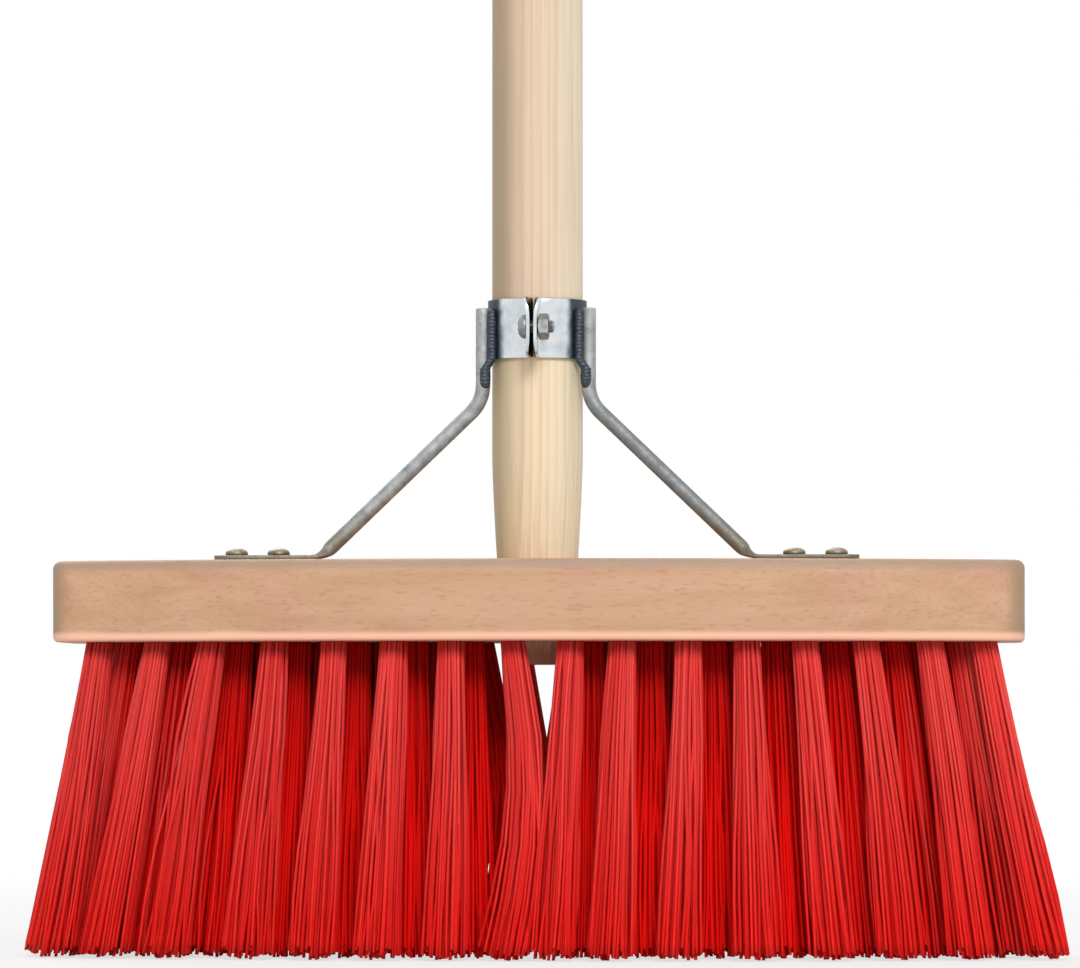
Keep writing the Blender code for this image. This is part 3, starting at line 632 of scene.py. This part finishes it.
def extrudedPvc():
    # Red PVC drawn into stiff fibre, satin skin. Painted light and shade: a pink highlight on the outer
    # tufts, a brighter red inside, shade between the tufts, under the block, at the tips and on the left
    # half. To the eye: clear red, paler on the outermost tufts.
    material, tree, place = newMaterial("extruded pvc fibre")
    across, deep, height = addNode(tree, "SeparateXYZ", {0: place}).outputs
    own = addNode(tree, "NewGeometry").outputs["Random Per Island"]
    colour = addNode(tree, "ValToRGB", {"Fac": own},
                     [(0.0, "#DE0F0A"), (0.35, "#EA120C"), (0.7, "#F2170F"), (1.0, "#FA2418")])
    # Draw lines from the die: 0.2 mm apart, drawn 0.6 mm apart so that they show
    lines = drawnOut(tree, place, (1700, 1700, 25))
    colour = veined(tree, colour, "#C00806", lines, 0.42, 0.7, 0.45)
    # Outer tufts are those near the bowed front, the straight back or an end. The front row leans out of the
    # others' way, 5 mm further forward at the floor than under the block
    radius, centreY = frontCircle()
    plan = addNode(tree, "VectorMath", {0: place, 1: (1, 1, 0)}, operation="MULTIPLY")
    bow = addNode(tree, "VectorMath", {0: plan, 1: (0, centreY, 0)}, operation="DISTANCE")
    forward = addNode(tree, "Math", {0: height, 1: 0.055, 2: bow}, operation="MULTIPLY_ADD")
    outwards = addNode(tree, "Math", {0: across}, operation="ABSOLUTE")
    outer = strongest(tree, *(
        addNode(tree, "MapRange", {"From Min": inner, "From Max": inner + reach, "Value": along})
        for along, inner, reach in ((forward, radius - 0.0115, 0.003), (deep, blockHigh.y - 0.019, 0.006),
                                    (outwards, blockHigh.x - 0.024, 0.008))))
    # Painted light: the fibres inside the brush, shaded by the outer tufts, are painted a purer, brighter
    # red
    paintedLightInside = addNode(tree, "MapRange", {"To Min": 0.8, "To Max": 0, "Value": outer})
    colour = stained(tree, colour, "#FF0D07", paintedLightInside)
    # Painted highlight: the outer tufts are paled towards pink, most near the block, and some fibres more
    # than others
    low = blockLow.z
    sheenByHeight = addNode(tree, "MapRange", {"From Min": low * 0.1, "From Max": low * 0.75,
                                      "To Min": 0.035, "To Max": 0.225, "Value": height})
    uneven = addNode(tree, "MapRange", {"To Min": 0.45, "To Max": 1.5, "Value": own})
    each = addNode(tree, "Math", {0: sheenByHeight, 1: uneven}, operation="MULTIPLY")
    paintedSheen = addNode(tree, "Math", {0: outer, 1: each}, operation="MULTIPLY")
    colour = stained(tree, colour, "#F2827E", paintedSheen)
    # Painted shade: a haze that reaches 60 mm down between the tufts, a dark collar just under the block,
    # darker tips
    shadeHaze, shadeCollar, tips = (
        addNode(tree, "MapRange", {"From Min": start, "From Max": full, "To Min": least, "To Max": most,
                                   "Value": height}, interpolation_type="SMOOTHSTEP")
        for start, full, least, most in ((low - 0.060, low - 0.004, 0.03, 0.36),
                                         (low - 0.007, low - 0.002, 0, 0.4), (0.0065, 0.0015, 0, 0.34)))
    between = addNode(tree, "MapRange", {"To Min": 1, "To Max": 0.12, "Value": outer})
    packed = addNode(tree, "Math", {0: shadeHaze, 1: between}, operation="MULTIPLY")
    # Painted shade on the left half
    shadeLeftHalf = addNode(tree, "MapRange", {"From Min": 0.04, "From Max": -blockHigh.x, "To Max": 0.11,
                                       "Value": across})
    paintedShade = addNode(tree, "Math", {0: strongest(tree, packed, shadeCollar, tips), 1: shadeLeftHalf}, operation="ADD",
                   use_clamp=True)
    colour = stained(tree, colour, "#6E0805", paintedShade)
    return finished(material, colour, {"Roughness": 0.45, "IOR": 1.53, "Specular IOR Level": 0.07},
                    lines, 0.2, 0.00005)


def bundlePlaces():
    # Places of the fibres in a bundle, packed as pipes are, in shares of its radius
    reach = fibre["bundleRadius"] - fibre["radius"]
    places = []
    lines = int(reach / fibre["spacing"]) + 2
    for row in range(-lines, lines + 1):
        for column in range(-lines, lines + 1):
            x = (column + 0.5 * (row % 2)) * fibre["spacing"]
            y = row * fibre["spacing"] * sqrt(3) / 2
            if hypot(x, y) <= reach:
                places.append((x, y))
    return np.array(places) / reach


def fibrePaths(row, side, random):
    # (fibre, step, x y z): the middle line of every fibre of a row on one side, from its hole down
    reach = fibre["bundleRadius"] - fibre["radius"]
    bundle = bundlePlaces()
    tufts = []
    for root, tip, bulge, width in tuftPlaces(row, side):
        turn = random.uniform(0, pi)
        packed = bundle @ np.array([[cos(turn), sin(turn)], [-sin(turn), cos(turn)]]) * width
        stray = np.where(random.random(len(packed)) < fibre["strays"], fibre["strayTimes"], 1)[:, None]
        shake = random.normal(0, fibre["scatter"], packed.shape) * stray
        fan = packed * fibre["fan"] * random.uniform(*fibre["fanShares"]) + shake
        spread = packed * reach + random.normal(0, fibre["rootScatter"], packed.shape)
        tufts.append(np.broadcast_arrays([root.x, root.y], [tip.x, tip.y], spread, fan, [bulge, 0.0]))
    roots, tips, spreads, fans, bulges = np.concatenate(tufts, axis=1)
    count = len(roots)
    waves = random.normal(0, fibre["wave"], (count, 2))
    rim = np.hypot(*bundle.T) ** fibre["rimPower"]
    ragged = fibre["ragged"] * random.random(count) ** fibre["raggedPower"]
    lifts = ragged + fibre["rimLift"] * np.resize(rim, count)
    shares = np.linspace(-fibre["inHole"] / blockLow.z, 1, fibre["steps"] + 1)
    paths = np.zeros((count, len(shares), 3))
    for number, share in enumerate(shares):
        # The bundle leans evenly but opens late
        below = max(share, 0)
        opened = below ** fibre["fanCurve"]
        paths[:, number, :2] = roots + (tips - roots) * share + spreads * (1 - opened) + fans * opened
        paths[:, number, :2] += bulges * sin(pi * below)
        paths[:, number, :2] += waves * sin(2 * pi * below)
        paths[:, number, 2] = blockLow.z * (1 - share) + lifts * below
    return paths


def buildTufts(row, side, word, material, random):
    paths = fibrePaths(row, side, random)
    rings, edge = fibre["steps"] + 1, fibre["sides"]
    turns = np.arange(edge) * 2 * pi / edge
    section = np.stack([np.cos(turns), np.sin(turns), 0 * turns], axis=1) * fibre["radius"]
    vertices = (paths[:, :, None, :] + section).reshape(-1, 3)
    # The faces of one fibre, with its two ends, then of all
    own = [(here + (step + 1) % edge, here + step, here + edge + step, here + edge + (step + 1) % edge)
           for here in range(0, (rings - 1) * edge, edge) for step in range(edge)]
    own += [tuple(range(edge)), tuple(range((rings - 1) * edge, rings * edge))[::-1]]
    starts = range(0, len(vertices), rings * edge)
    faces = [tuple(start + corner for corner in face) for start in starts for face in own]
    mesh = bpy.data.meshes.new(f"tuftRow{row + 1}{word.title()}")
    mesh.from_pydata(vertices.tolist(), [], faces)
    dress(newObject(mesh.name, mesh), 50, material, "head", "bristle", f"tuft_row_{row + 1}_{word}")


def buildBristles():
    random = np.random.default_rng(fibre["seed"])
    material = extrudedPvc()
    for row in range(tuft["rows"]):
        for side, word in sides:
            buildTufts(row, side, word, material, random)


buildBristles()
print("bristles set")


# Brace arms: round bar, bent at a knee and hammered flat where it is screwed down

arm = {
    "radius": 0.00225,
    "reach": 0.01785,  # from the handle's axis to the bar's
    "forward": 24,  # degrees forward of the handle's sides
    "kneeDrop": 0.0129, "kneeRadius": 0.012, "bendSteps": 14, "endDrop": 0.0026, "endBevel": 0.0006,
    "footStart": 0.0665, "footEnd": 0.0995, "footRadius": 0.008, "footThickness": 0.0014,
    "footWidth": 0.011,
    "bevelShare": 0.3,  # where the bevel's middle section stands
    "footTips": (0.0006, 0.0003, 0.0001, 0),  # how far before the foot's end its last sections stand
    "blunt": 0.05,  # the share of its width that the foot's round end keeps at the very end
    "holeCut": (-0.001, 0.004),  # from the block's top
    "gap": 0.0003, "squeezeShare": 0.7, "flatPower": 8, "sides": 28, "spacing": 0.0012,
    "holeRadius": 0.00205,
}


def zincPlatedBar():
    # Drawn steel bar, zinc plated and dulled by weather: mid grey with cloudy patches and fine scuffs.
    # To the eye: soft grey metal without a sharp highlight, painted darker on the right, brown down by the
    # foot.
    material, tree, place = newMaterial("zinc plated bar")
    across, _, height = addNode(tree, "SeparateXYZ", {0: place}).outputs
    clouds, colour = cloudy(tree, place, 260, [(0.3, "#8F9293"), (0.5, "#A6A9AA"), (0.7, "#BBBEBF")], 4, 0.6)
    # Painted shade: the right bar is darker below the knee
    knee = strapLow.z - arm["kneeDrop"]
    right = addNode(tree, "Math", {0: across, 1: 0}, operation="GREATER_THAN")
    colour = stained(tree, colour, "#6E7271", height, knee + 0.008, knee - 0.004, 0.6, right)
    # Darker and browner over the last 20 mm above the block
    uneven = addNode(tree, "Math", {0: clouds, 1: 0.006, 2: height}, operation="MULTIPLY_ADD")
    colour = stained(tree, colour, "#807765", uneven, blockHigh.z + 0.023, blockHigh.z + 0.005, 0.75)
    scuffs = addNode(tree, "TexNoise", {"Scale": 900, "Detail": 3, "Vector": place})
    values = {"Metallic": 0.8, "Roughness": dulled(tree, scuffs, 0.54, 0.7)}
    return finished(material, colour, values, clouds, 0.25)


def armSection(point):
    # Half width, half height and flatness of the bar: it is squeezed as it comes down to the block
    full = arm["radius"]
    half = arm["footThickness"] / 2
    room = (point.z - blockHigh.z - arm["gap"]) * arm["squeezeShare"]
    high = max(min(full, room), half)
    flat = (full - high) / (full - half)
    wide = full + (arm["footWidth"] / 2 - full) * flat
    toEnd = max(arm["footEnd"] - abs(point.x), 0)
    if toEnd < arm["footWidth"] / 2:
        wide *= sqrt(max(1 - (1 - 2 * toEnd / arm["footWidth"]) ** 2, arm["blunt"] ** 2))
    return wide, high, flat


def barPlace(turn=0, reach=arm["reach"]):
    # Across and deep: where a bar stands, or a point so many degrees further round the handle
    around = radians(arm["forward"] + turn)
    return reach * cos(around), -reach * sin(around)


def armPath(side):
    foot = blockHigh.z + arm["gap"] + arm["footThickness"] / 2
    x, y = barPlace()
    corners = [
        Vector((side * x, y, strapHigh.z - arm["endDrop"])),
        Vector((side * x, y, strapLow.z - arm["kneeDrop"])),
        Vector((side * arm["footStart"], y, foot)),
        Vector((side * arm["footEnd"], y, foot)),
    ]
    radii = arm["kneeRadius"], arm["footRadius"]
    path = resampled(roundedPath(corners, radii, arm["bendSteps"]), arm["spacing"])
    bevel = arm["endBevel"]
    top = [path[0] - Vector((0, 0, bevel * share)) for share in (0, arm["bevelShare"], 1)]
    end = [path[-1] - Vector((side * short, 0, 0)) for short in arm["footTips"]]
    return top + path[2:-1] + end


def buildArm(side, word, material):
    path = armPath(side)
    rings = []
    for number, point in enumerate(path):
        wide, high, flat = armSection(point)
        if number < 2:
            shrink = arm["endBevel"] * (1, arm["bevelShare"])[number]
            wide, high = wide - shrink, high - shrink
        up = heading(path, number).cross(Vector((0, 1, 0))).normalized()
        power = 2 / (2 + (arm["flatPower"] - 2) * flat)
        ring = []
        for cosine, sine in circle(arm["sides"], 0.5):
            out = copysign(abs(cosine) ** power, cosine) * wide
            rise = copysign(abs(sine) ** power, sine) * high
            ring.append(point + Vector((0, out, 0)) + up * rise)
        rings.append(ring)
    made = loft("braceArm" + word.title(), rings)
    holes = []
    for name in screws:
        if name.startswith(word):
            place = screwBox(name, blockHigh.z)[2]
            holes.append(rodCutter(arm["holeRadius"], *arm["holeCut"], place))
    cut(made, joined(holes))
    dress(made, 40, material, "head", "zinc_steel", "brace_arm_" + word)


# Clamp strap: bent steel band round the handle, its two ears drawn together by the bolt

strap = {
    "thickness": 0.001, "inner": 0.0143, "earGap": 0.0012,
    "pinch": 0.00045,  # how much nearer each ear stands to the middle where it leaves the handle
    "seat": 0.0036,  # the ears run parallel from this far behind the bolt
    "bendRadius": 0.0015, "earCorner": 0.004, "edgeRadius": 0.0003,
    "flareAbove": 0.0013,  # how far each ear opens above and below the bolt
    "flareBelow": 0.0004, "flarePower": 3,
    "holeRadius": 0.0023, "holeCut": (-0.005, 0.005),  # from the middle of the ears' gap
    "roundSteps": 84,
    "cornerSteps": 10, "earSteps": 4, "bendSteps": 8, "edgeSteps": 3, "heightSteps": 14,
}


def zincPlatedStrip():
    # Cold-rolled strip, bright zinc plated: pale blue-white metal, heat tinted blue-grey beside the welds,
    # with painted shade there and between the ears.
    # To the eye: bright in front, with faint cloudy blotches, and dark where it meets the arms.
    material, tree, place = newMaterial("zinc plated strip")
    across, deep, _ = addNode(tree, "SeparateXYZ", {0: place}).outputs
    clouds, colour = cloudy(tree, place, 220, [(0.3, "#C4CCD1"), (0.5, "#D5DBDF"), (0.7, "#E2E6E6")])
    # Rolled strip has its scratches along its length: 0.3 mm apart, drawn 0.6 mm apart
    scratches = drawnOut(tree, place, (120, 120, 1600))
    # Heat tint from the welds, widened 4 mm into the strip on both sides of its bar as painted shade of the
    # crevices
    outwards = addNode(tree, "Math", {0: across}, operation="ABSOLUTE")
    plan = addNode(tree, "CombineXYZ", {0: outwards, 1: deep})
    away = addNode(tree, "VectorMath", {0: plan, 1: (*barPlace(), 0)}, operation="DISTANCE")
    ragged = addNode(tree, "Math", {0: clouds, 1: 0.0030, 2: away}, operation="MULTIPLY_ADD")
    heatTintAndShade = addNode(tree, "MapRange", {"From Min": 0.0103, "From Max": 0.0071, "Value": ragged},
                    interpolation_type="SMOOTHSTEP")
    colour = stained(tree, colour, "#4A545F", heatTintAndShade)
    # Painted shade on every face that looks towards the middle plane, as the ears' inner faces do: the deep
    # gap between the ears
    facing = addNode(tree, "SeparateXYZ", {0: addNode(tree, "TexCoord").outputs["Normal"]}).outputs["X"]
    inwards = addNode(tree, "Math", {0: facing, 1: across}, operation="MULTIPLY")
    inner = addNode(tree, "MapRange", {"From Min": -0.0001, "From Max": -0.0004, "Value": inwards})
    colour = stained(tree, colour, "#3B3832", inner)
    rough = addNode(tree, "MapRange", {"To Min": 0.27, "To Max": 0.55, "Value": heatTintAndShade})
    return finished(material, colour, {"Metallic": 1, "Roughness": rough}, scratches, 0.2)


def strapPath():
    # The strap's middle line in plan: one ear, round the handle, the other ear
    wall = strap["thickness"] / 2
    middle = strap["earGap"] / 2 + wall
    root = middle - strap["pinch"]
    reach = strap["inner"] + wall
    bend = strap["bendRadius"] + wall
    bendX = root + bend
    bendY = -sqrt((reach + bend) ** 2 - bendX ** 2)
    steps = strap["earSteps"]
    bevel = quarter(strap["cornerSteps"])
    ear = [(middle, strapLow.y + (1 - cosine) * strap["earCorner"]) for cosine, _ in bevel]
    seat = (middle, nutAxis.y + strap["seat"])
    ear += line(ear[-1], seat, steps) + [seat] + line(seat, (root, bendY), steps)
    right = ear + arc((bendX, bendY), bend, pi, atan2(-bendY, -bendX), strap["bendSteps"])
    turn = atan2(bendY, bendX)
    body = arc((0, 0), reach, turn, pi - turn, strap["roundSteps"])
    return right + body[1:-1] + [(-x, y) for x, y in right[::-1]]


def strapSection(half):
    # (outwards, upwards) points round the strip's rounded section
    wall = strap["thickness"] / 2
    edge = min(strap["edgeRadius"], half)
    corners = []
    for out, up, start in ((1, 1, 0), (-1, 1, 90), (-1, -1, 180), (1, -1, 270)):
        centre = (out * (wall - edge), up * (half - edge))
        corners.append(arc(centre, edge, radians(start), radians(start + 90), strap["edgeSteps"]))
    left = line(corners[1][-1], corners[2][0], strap["heightSteps"])
    right = line(corners[3][-1], corners[0][0], strap["heightSteps"])
    return corners[0] + corners[1] + left + corners[2] + corners[3] + right


def buildStrap():
    path = strapPath()
    full = (strapHigh.z - strapLow.z) / 2
    corner = strap["earCorner"]
    ears = -strap["inner"] - strap["bendRadius"]
    rings = []
    for number, (x, y) in enumerate(path):
        ahead = heading(path, number)
        toTip = corner - (y - strapLow.y)
        half = full if toTip <= 0 else full - corner + sqrt(max(corner ** 2 - toTip ** 2, 0))
        # The ears open towards their tips, above and below the bolt's pull
        inEar = clamped((ears - y) / (ears - strapLow.y))
        ring = []
        for away, up in strapSection(half):
            flare = strap["flareAbove"] if up > 0 else strap["flareBelow"]
            opened = flare * inEar * abs(up / full) ** strap["flarePower"] * copysign(1, x)
            ring.append((x + ahead.y * away + opened, y - ahead.x * away, strapMiddle + up))
        rings.append(ring)
    band = loft("clampStrap", rings)
    cut(band, rodCutter(strap["holeRadius"], *strap["holeCut"], boltPlace @ Matrix.Rotation(pi / 2, 4, "Y")))
    dress(band, 40, zincPlatedStrip(), "head", "zinc_steel", "clamp_strap")


# Welds: a rippled bead down each crevice between an arm and the strap

weld = {
    "radius": 0.0013,
    "seam": (10.5, 0.0163),  # beside the strap: degrees round the handle from the bar, and how far out
    "tail": (4.6, 0.0178),  # below the strap, on the front of the bar
    "tailLength": 0.003,  # from one place to the other
    "tailSwell": 0.25,
    "ripple": 0.0011,  # from one ripple to the next
    "rippleDepth": 0.00016, "rippleSteps": 6,
    "swell": 0.12,  # how unlike in thickness a bead is along its length
    "swellScale": 300,
    "endPower": 16,  # a high power keeps the bead full up to its ends
    "endShare": 0.004,  # what is left of its section at the very end
    "top": 0.0028,  # how far below the strap's top edge a bead starts
    "runOut": 0.0092,  # how far a front bead runs down the bar below the strap
    "backStart": 0.001,  # how far above the strap's lower edge a back bead ends
    "sides": 18,
}


def weldOxide():
    # Weld bead left as welded: dark grey-blue oxide over steel.
    # To the eye: a dark, slightly shiny seam.
    material, tree, place = newMaterial("weld oxide")
    scale, colour = cloudy(tree, place, 1400, [(0.3, "#363C44"), (0.55, "#484E58"), (0.75, "#62686F")])
    return finished(material, colour, {"Metallic": 0.7, "Roughness": 0.5}, scale, 0.4)


def beadRings(side, facing, low, high):
    # Facing -1 is the front of the broom
    rings = []
    steps = int((high - low) / weld["ripple"] * weld["rippleSteps"])
    for step in range(steps + 1):
        share = step / steps
        height = low + (high - low) * share
        below = clamped((strapLow.z - height) / weld["tailLength"])
        ends = sqrt(max(1 - (2 * share - 1) ** weld["endPower"], weld["endShare"]))
        # Each bead swells in its own way
        swell = 1 + weld["swell"] * noise.noise(Vector((side * 3, facing * 5, height * weld["swellScale"])))
        wave = weld["rippleDepth"] * abs(sin(pi * height / weld["ripple"]))
        radius = (weld["radius"] * swell * (1 + weld["tailSwell"] * below) + wave) * ends
        turn, reach = (seam + (tail - seam) * below for seam, tail in zip(weld["seam"], weld["tail"]))
        x, y = barPlace(-facing * turn, reach)
        around = circle(weld["sides"])
        rings.append([(x * side + radius * out, y + radius * deep, height) for out, deep in around])
    return rings


def buildWelds():
    material = weldOxide()
    high = strapHigh.z - weld["top"]
    for side, word in sides:
        front = loft("front", beadRings(side, -1, strapLow.z - weld["runOut"], high))
        back = loft("back", beadRings(side, 1, strapLow.z + weld["backStart"], high))
        bead = joined([front, back])
        bead.name = "weld" + word.title()
        dress(bead, 60, material, "head", "zinc_steel")


barFinish = zincPlatedBar()
for side, word in sides:
    buildArm(side, word, barFinish)
buildStrap()
buildWelds()
print("brace and clamp built")


# Fasteners: M4 bolt and nut through the ears, four pan-head wood screws in the feet

bolt = {
    "radius": 0.002, "pitch": 0.0007, "threadDepth": 0.0003, "headRadius": 0.0037,
    "headHeight": 0.00285, "headStart": 0.00165,
    "rim": 0.0006,  # how high the head's side stands before its crown
    "tailBevel": 0.0004, "recess": (0.0040, 0.0009), "recessDepth": 0.0013, "sides": 40,
}

crown = {
    "bevel": 0.0003, "bevelHeight": 0.0002, "flat": 0.0002, "steps": 12,
    "power": 0.8,  # under 1, the head is flatter than a ball
}

nut = {
    "acrossFlats": 0.007, "thickness": 0.0032, "chamfer": 0.0004, "bore": 0.00205,
    "threadDepth": 0.0002,
    "sides": 72,  # of the cone that chamfers it
    "over": 0.0005,  # how far the thread's cutter stands out
    "coneOver": 0.0003,
}

screw = {
    "radius": 0.00175, "pitch": 0.0014,
    "threadShare": 0.0005 / 0.00175,  # the thread's depth, in shares of the radius
    "threadFlank": 2.2,  # how steep the thread's sides are: the root is flat
    "bearing": 0.00005,  # from the foot's top to the head
    "point": 0.004,
    "pointShare": 0.12,  # the point's radius at its very end
    "neck": 0.0012,  # under the head, without a thread
    "neckRadius": 0.0014, "neckHeight": 0.0008, "rim": 0.0005, "recess": (0.0038, 0.0009),
    "recessDepth": 0.0012,
    "turns": (0.35, 1.1, 0.2, 0.75),  # how each cross came to rest
    "sides": 40,
}


def zincPlatedFastener():
    # Cold-headed steel, zinc plated: cloudy, and duller than the strip.
    # To the eye: small grey metal heads with a dark cross.
    material, tree, place = newMaterial("zinc plated fastener")
    clouds, colour = cloudy(tree, place, 520, [(0.3, "#7D7E7E"), (0.5, "#96999A"), (0.7, "#B1B5B7")])
    values = {"Metallic": 1, "Roughness": dulled(tree, clouds, 0.42, 0.6)}
    return finished(material, colour, values, clouds, 0.15)


def yellowPassivatedScrew():
    # Hardened steel screw, zinc plated and passivated yellow, weathered: dull brass, brown round its rim.
    # To the eye: small dark warm heads against the pale wood.
    material, tree, place = newMaterial("yellow passivated screw")
    clouds, colour = cloudy(tree, place, 640, [(0.3, "#857963"), (0.5, "#9B8F79"), (0.7, "#B0A594")])
    # Dirt stays in the lower half of the head, round its rim
    height = addNode(tree, "SeparateXYZ", {0: place}).outputs["Z"]
    top = screwBox("left_1")[1].z
    colour = stained(tree, colour, "#4E4234", height, top - 0.0008, top - 0.0016, 0.5)
    values = {"Metallic": 1, "Roughness": dulled(tree, clouds, 0.4, 0.6)}
    return finished(material, colour, values, clouds, 0.2)


def panHead(radius, seat, height, rim):
    # (radius, height) points from the seat up: a bevelled rim, then a crown
    points = [(radius - crown["bevel"], seat), (radius, seat + crown["bevelHeight"])]
    for cosine, sine in quarter(crown["steps"]):
        out = max(radius * cosine ** crown["power"], crown["flat"])
        points.append((out, seat + rim + (height - rim) * sine))
    return points


def buildBolt(material):
    tail, seat = -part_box("clamp_bolt")[1].x, bolt["headStart"]

    def shank(height, root):
        return bolt["radius"] - max(bolt["tailBevel"] - (height - tail), 0) - bolt["threadDepth"] * root

    rings = threadedRings(shank, tail, seat, bolt["pitch"], bolt["sides"])
    rings += turnedRings(panHead(bolt["headRadius"], seat, bolt["headHeight"], bolt["rim"]), bolt["sides"])
    made = loft("clampBolt", rings)
    top = Matrix.Translation((0, 0, seat + bolt["headHeight"]))
    cut(made, crossCutter(bolt["recess"], bolt["recessDepth"], top))
    made.data.transform(boltPlace @ Matrix.Rotation(-pi / 2, 4, "Y"))
    dress(made, 32, material, "head", "fastener_steel", "clamp_bolt")


def buildNut(material):
    half = nut["thickness"] / 2
    flat = nut["acrossFlats"] / 2
    corner = flat / cos(pi / 6)
    made = loft("clampNut", turnedRings([(corner, -half), (corner, half)], 6))
    reach = corner + nut["coneOver"]
    drop = nut["chamfer"] * (reach - flat) / (corner - flat)
    lens = [(flat, -half), (reach, -half + drop), (reach, half - drop), (flat, half)]
    cut(made, loft("cutter", turnedRings(lens, nut["sides"])), "INTERSECT")

    def thread(height, root):
        return nut["bore"] - nut["threadDepth"] * root

    end = half + nut["over"]
    cut(made, loft("cutter", threadedRings(thread, -end, end, bolt["pitch"], bolt["sides"])))
    made.data.transform(Matrix.Translation(nutAxis) @ Matrix.Rotation(pi / 2, 4, "Y"))
    dress(made, 25, material, "nut", "fastener_steel", "clamp_nut")


def buildScrews(material):
    sideCount, neck = screw["sides"], screw["neckRadius"]
    for name, turn in zip(screws, screw["turns"]):
        low, high, place = screwBox(name)
        seat = blockHigh.z + arm["gap"] + arm["footThickness"] + screw["bearing"]

        def shank(height, root):
            full = screw["radius"] * min((height - low.z) / screw["point"] + screw["pointShare"], 1)
            return full * (1 - screw["threadShare"] * min(root * screw["threadFlank"], 1))

        rings = threadedRings(shank, low.z, seat - screw["neck"], screw["pitch"], sideCount)
        head = [(neck, seat - screw["neckHeight"]), (neck, seat)]
        head += panHead((high.x - low.x) / 2, seat, high.z - seat, screw["rim"])
        made = loft("woodScrew" + name.title().replace("_", ""), rings + turnedRings(head, sideCount))
        top = Matrix.Translation((0, 0, high.z)) @ Matrix.Rotation(turn, 4, "Z")
        cut(made, crossCutter(screw["recess"], screw["recessDepth"], top))
        made.data.transform(place)
        dress(made, 35, material, "head", "fastener_steel", "wood_screw_" + name)


fastenerFinish = zincPlatedFastener()
buildBolt(fastenerFinish)
buildNut(fastenerFinish)
buildScrews(yellowPassivatedScrew())
print("fasteners built")


# Studio: white surroundings, a pale floor that keeps the shadow, soft key from the right front

studio = {
    "fill": 0.40,  # strength of the surroundings as light; seen directly they are 1, white
    # Strength, degrees across, elevation and azimuth, which is 0 in front and positive to the right
    "lamps": {"key": (1.8, 22, 33, 12), "back": (0.9, 30, 40, 200)},
    "floorSize": 14,
    "floorDrop": 0.0002,  # the floor lies just under the tips
    "shadowShare": 0.32,  # how much of the floor's white is lit rather than its own
    "fadeStart": 0.35, "fadeEnd": 1.4,
}


def seenDirectly(tree):
    # 1 for what the camera, a reflection or a glass sees, 0 for light
    path = addNode(tree, "LightPath").outputs
    seen = addNode(tree, "Math", {0: path["Is Camera Ray"], 1: path["Is Glossy Ray"]}, operation="ADD")
    return addNode(tree, "Math", {0: seen, 1: path["Is Transmission Ray"]}, operation="ADD", use_clamp=True)


def buildWorld():
    world = bpy.data.worlds.new("studio")
    bpy.context.scene.world = world
    world.use_nodes = True
    tree = world.node_tree
    background = tree.nodes["Background"].inputs
    feed(tree, background["Color"], (1, 1, 1, 1))
    strength = {"To Min": studio["fill"], "To Max": 1, "Value": seenDirectly(tree)}
    feed(tree, background["Strength"], addNode(tree, "MapRange", strength))


def paleFloor():
    # Matt paper: keeps part of the shadow, and lights itself for the rest.
    # To the eye: white, with a soft grey shadow under the brush only.
    material, tree, place = newMaterial("pale studio floor")
    lit = addNode(tree, "BsdfDiffuse", {"Color": "#F4F4F2"})
    white = addNode(tree, "Emission", {"Color": (1, 1, 1, 1), "Strength": 1})
    # Far from the broom the floor is plain white, so that it runs into the surroundings without a seam
    away = addNode(tree, "VectorMath", {0: place}, operation="LENGTH")
    own = addNode(tree, "MapRange", {"From Min": studio["fadeStart"], "From Max": studio["fadeEnd"],
                                     "To Min": 1 - studio["shadowShare"], "To Max": 1, "Value": away},
                  interpolation_type="SMOOTHSTEP")
    share = addNode(tree, "Math", {0: own, 1: seenDirectly(tree)}, operation="MULTIPLY")
    mixed = addNode(tree, "MixShader", {0: share, 1: lit, 2: white})
    tree.nodes.remove(tree.nodes["Principled BSDF"])
    feed(tree, tree.nodes["Material Output"].inputs["Surface"], mixed)
    return material


def buildFloor():
    low, high = -studio["floorSize"] / 2, studio["floorSize"] / 2
    mesh = bpy.data.meshes.new("floor")
    mesh.from_pydata([(low, low, 0), (high, low, 0), (high, high, 0), (low, high, 0)], [], [(0, 1, 2, 3)])
    floor = newObject("floor", mesh)
    floor.location.z = -studio["floorDrop"]
    floor.data.materials.append(paleFloor())


def buildLamp(name, strength, angle, elevation, azimuth):
    lamp = bpy.data.lights.new(name, "SUN")
    lamp.energy = strength
    lamp.angle = radians(angle)
    placed = newObject(name, lamp)
    placed.rotation_euler = (radians(90 - elevation), 0, radians(azimuth))


buildWorld()
buildFloor()
for name, lamp in studio["lamps"].items():
    buildLamp(name, *lamp)
bpy.context.scene.view_settings.view_transform = "Standard"
print("studio lit")
